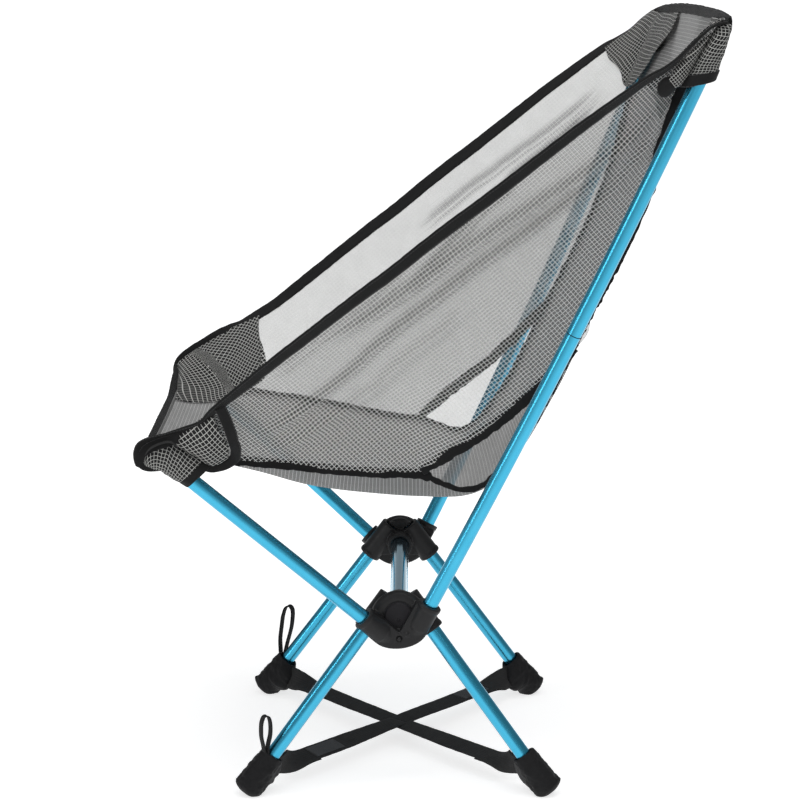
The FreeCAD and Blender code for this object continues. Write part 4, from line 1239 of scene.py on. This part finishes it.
        # the strap's end folded back and sewn, and a blank sewn-on patch on one strap
        face = unit(np.cross(unit(np.gradient(path, axis=0)), A(acs)))
        want_ = A((-1, 0, 0.2)) if mir else A((1, 0, 0.2))
        sg = np.sign((face * want_).sum(1, keepdims=True))
        face = face * np.where(sg == 0, 1, sg)
        a0_ = 74
        b = tape("strap_fold_" + k + "_" + side, (path - face * 1.35)[a0_:108], A(acs)[a0_:108], 20.0, 1.2, MAT_WEB, mir, seed=80, wob=0.25)
        fix_normals(b)
        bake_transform(b)
        if over:
            yl = -64.0 if k == "front" else 66.0
            ic = int(np.argmin(np.abs(path[:, 1] - yl)))
            half_n = int(round(20.0 / (np.linalg.norm(path[1] - path[0]) + 1e-9)))
            b = tape("strap_patch_" + side, (path + face * 1.0)[ic - half_n:ic + half_n], A(acs)[ic - half_n:ic + half_n], 14.5, 0.8, MAT_LABEL, mir, seed=85, wob=0.05)
            fix_normals(b)
            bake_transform(b)
        if k == "front":
            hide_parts("strap_upper" if not mir else "strap_lower")

    # pull loops
    if k == "front":
        for side in ("left", "right"):
            mir = side == "right"
            if not mir:
                lp = [(164.2, -110.6, 29.0), (164.6, -111.6, 36), (165.0, -112.6, 43), (165.3, -114.0, 51), (165.5, -114.0, 61), (165.5, -112.4, 66.6),
                      (165.5, -110.2, 68.2), (165.5, -107.6, 66.8), (165.5, -106.4, 61), (165.3, -106.6, 53), (165.0, -108.4, 44), (164.6, -109.2, 36), (164.2, -109.4, 29.0)]
            else:
                lp = [(164.2, -110.6, 29.0), (164.6, -112.0, 40), (165.0, -112.2, 52), (165.3, -110.8, 64), (165.5, -109.4, 74), (165.5, -106.8, 81.0),
                      (165.5, -103.2, 82.4), (165.5, -100.6, 78.5), (165.5, -100.6, 70), (165.3, -102.2, 60), (165.0, -105.2, 49), (164.6, -107.6, 39), (164.2, -109.2, 29.0)]
            path = resample(lp, 120)
            b = tape("pull_loop_" + side + "_web", path, np.tile(A((0.86, 0.50, 0.05)), (121, 1)), 6.4, 1.4, MAT_LOOP, mir, seed=90, wob=0.12)
            fix_normals(b)
            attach(b, "front_leg_" + side)
            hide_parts("pull_loop_" + side)


def area_of(g):
    a = np.cross(g[1:, :-1] - g[:-1, :-1], g[:-1, 1:] - g[:-1, :-1])
    b = np.cross(g[1:, 1:] - g[1:, :-1], g[1:, 1:] - g[:-1, 1:])
    return float((np.linalg.norm(a, axis=2) + np.linalg.norm(b, axis=2)).sum() / 2) * 1e-6


def declare(name, g):
    """A sewn pocket layer, cut about as large as it lies."""
    w_ = float(np.linalg.norm(np.diff(g, axis=1), axis=2).sum(1).max()) / 1000.0
    l_ = float(np.linalg.norm(np.diff(g, axis=0), axis=2).sum(0).max()) / 1000.0
    ar = area_of(g)
    DECLARED.append((name, round(w_ * 1000), round(l_ * 1000), round(ar * 1e4)))


DECLARED = []
for name_, g_, on_ in POCKET_LAYERS:
    declare(name_, g_)

# ------------------------------------------------------------------ floor and light
bpy.ops.mesh.primitive_plane_add(size=60, location=(-10, 0, -0.0001))
floor = bpy.context.object
floor.name = "floor"
fm, nt, bsdf = material("glowing_floor")
bsdf.inputs["Roughness"].default_value = 0.8
bsdf.inputs["Specular IOR Level"].default_value = 0.05
bsdf.inputs["Emission Color"].default_value = (1, 1, 1, 1)
# the floor glows as painted light: strongest far behind the chair, weaker round the chair, and weaker and darker
# towards the camera and off to the sides, so the tubes reflect a dimmer floor there
ftc = nt.nodes.new("ShaderNodeTexCoord")
fsp = nt.nodes.new("ShaderNodeSeparateXYZ")
nt.links.new(ftc.outputs["Object"], fsp.inputs[0])
f_near = smooth(nt, fsp.outputs[0], 10.45, 11.25, 1.0, 0.55)
f_wide = smooth(nt, mathn(nt, "ADD", mathn(nt, "ABSOLUTE", fsp.outputs[1]), mathn(nt, "MULTIPLY_ADD", fsp.outputs[0], 0.16, -1.70)), 0.40, 1.10, 1.0, 0.72)
f_lit = mathn(nt, "MULTIPLY", f_near, f_wide)
f_far = smooth(nt, fsp.outputs[0], 8.6, 9.9, 0.95, 0.70)
link(nt, mathn(nt, "MULTIPLY", f_lit, f_far), bsdf, "Emission Strength")
link(nt, mixc(nt, f_lit, (0.30, 0.30, 0.30), (0.60, 0.60, 0.60)), bsdf, "Base Color")
floor.data.materials.append(fm)

world = bpy.data.worlds.new("studio")
scene.world = world
world.use_nodes = True
wn = world.node_tree
bg = wn.nodes["Background"]
# a pale horizon falling off to a dim ceiling
wtc = wn.nodes.new("ShaderNodeTexCoord")
wsp = wn.nodes.new("ShaderNodeSeparateXYZ")
wrp = wn.nodes.new("ShaderNodeValToRGB")
wn.links.new(wtc.outputs["Generated"], wsp.inputs[0])
wn.links.new(wsp.outputs[2], wrp.inputs[0])
stops = [(0.0, 0.90), (0.06, 0.66), (0.15, 0.36), (0.30, 0.22), (0.60, 0.24), (1.0, 0.40)]
cr_w = wrp.color_ramp
while len(cr_w.elements) < len(stops):
    cr_w.elements.new(0.5)
for e_w, (p_w, v_w) in zip(cr_w.elements, stops):
    e_w.position = p_w
    e_w.color = (v_w * 0.97, v_w * 0.985, v_w, 1)
wn.links.new(wrp.outputs[0], bg.inputs[0])
bg.inputs[1].default_value = 1.0


def area_light(name, loc, target, size, power, color=(1, 1, 1)):
    ld = bpy.data.lights.new(name, "AREA")
    ld.shape = "RECTANGLE"
    ld.size, ld.size_y = size
    ld.energy = power
    ld.color = color
    ob = bpy.data.objects.new(name, ld)
    ob.location = loc
    ob.rotation_euler = (Vector(target) - Vector(loc)).to_track_quat("-Z", "Y").to_euler()
    scene.collection.objects.link(ob)
    return ob


area_light("key_top", (0.5, 0.1, 2.6), (0, 0, 0.2), (2.0, 2.0), 33)
area_light("strip_front", (2.3, 0.0, 1.75), (0, 0, 0.35), (3.0, 0.42), 17)
area_light("side_front", (1.4, -2.2, 0.9), (0, 0, 0.3), (0.3, 1.6), 8)

scene.view_settings.view_transform = "Standard"
scene.view_settings.look = "None"
scene.view_settings.exposure = 0.0
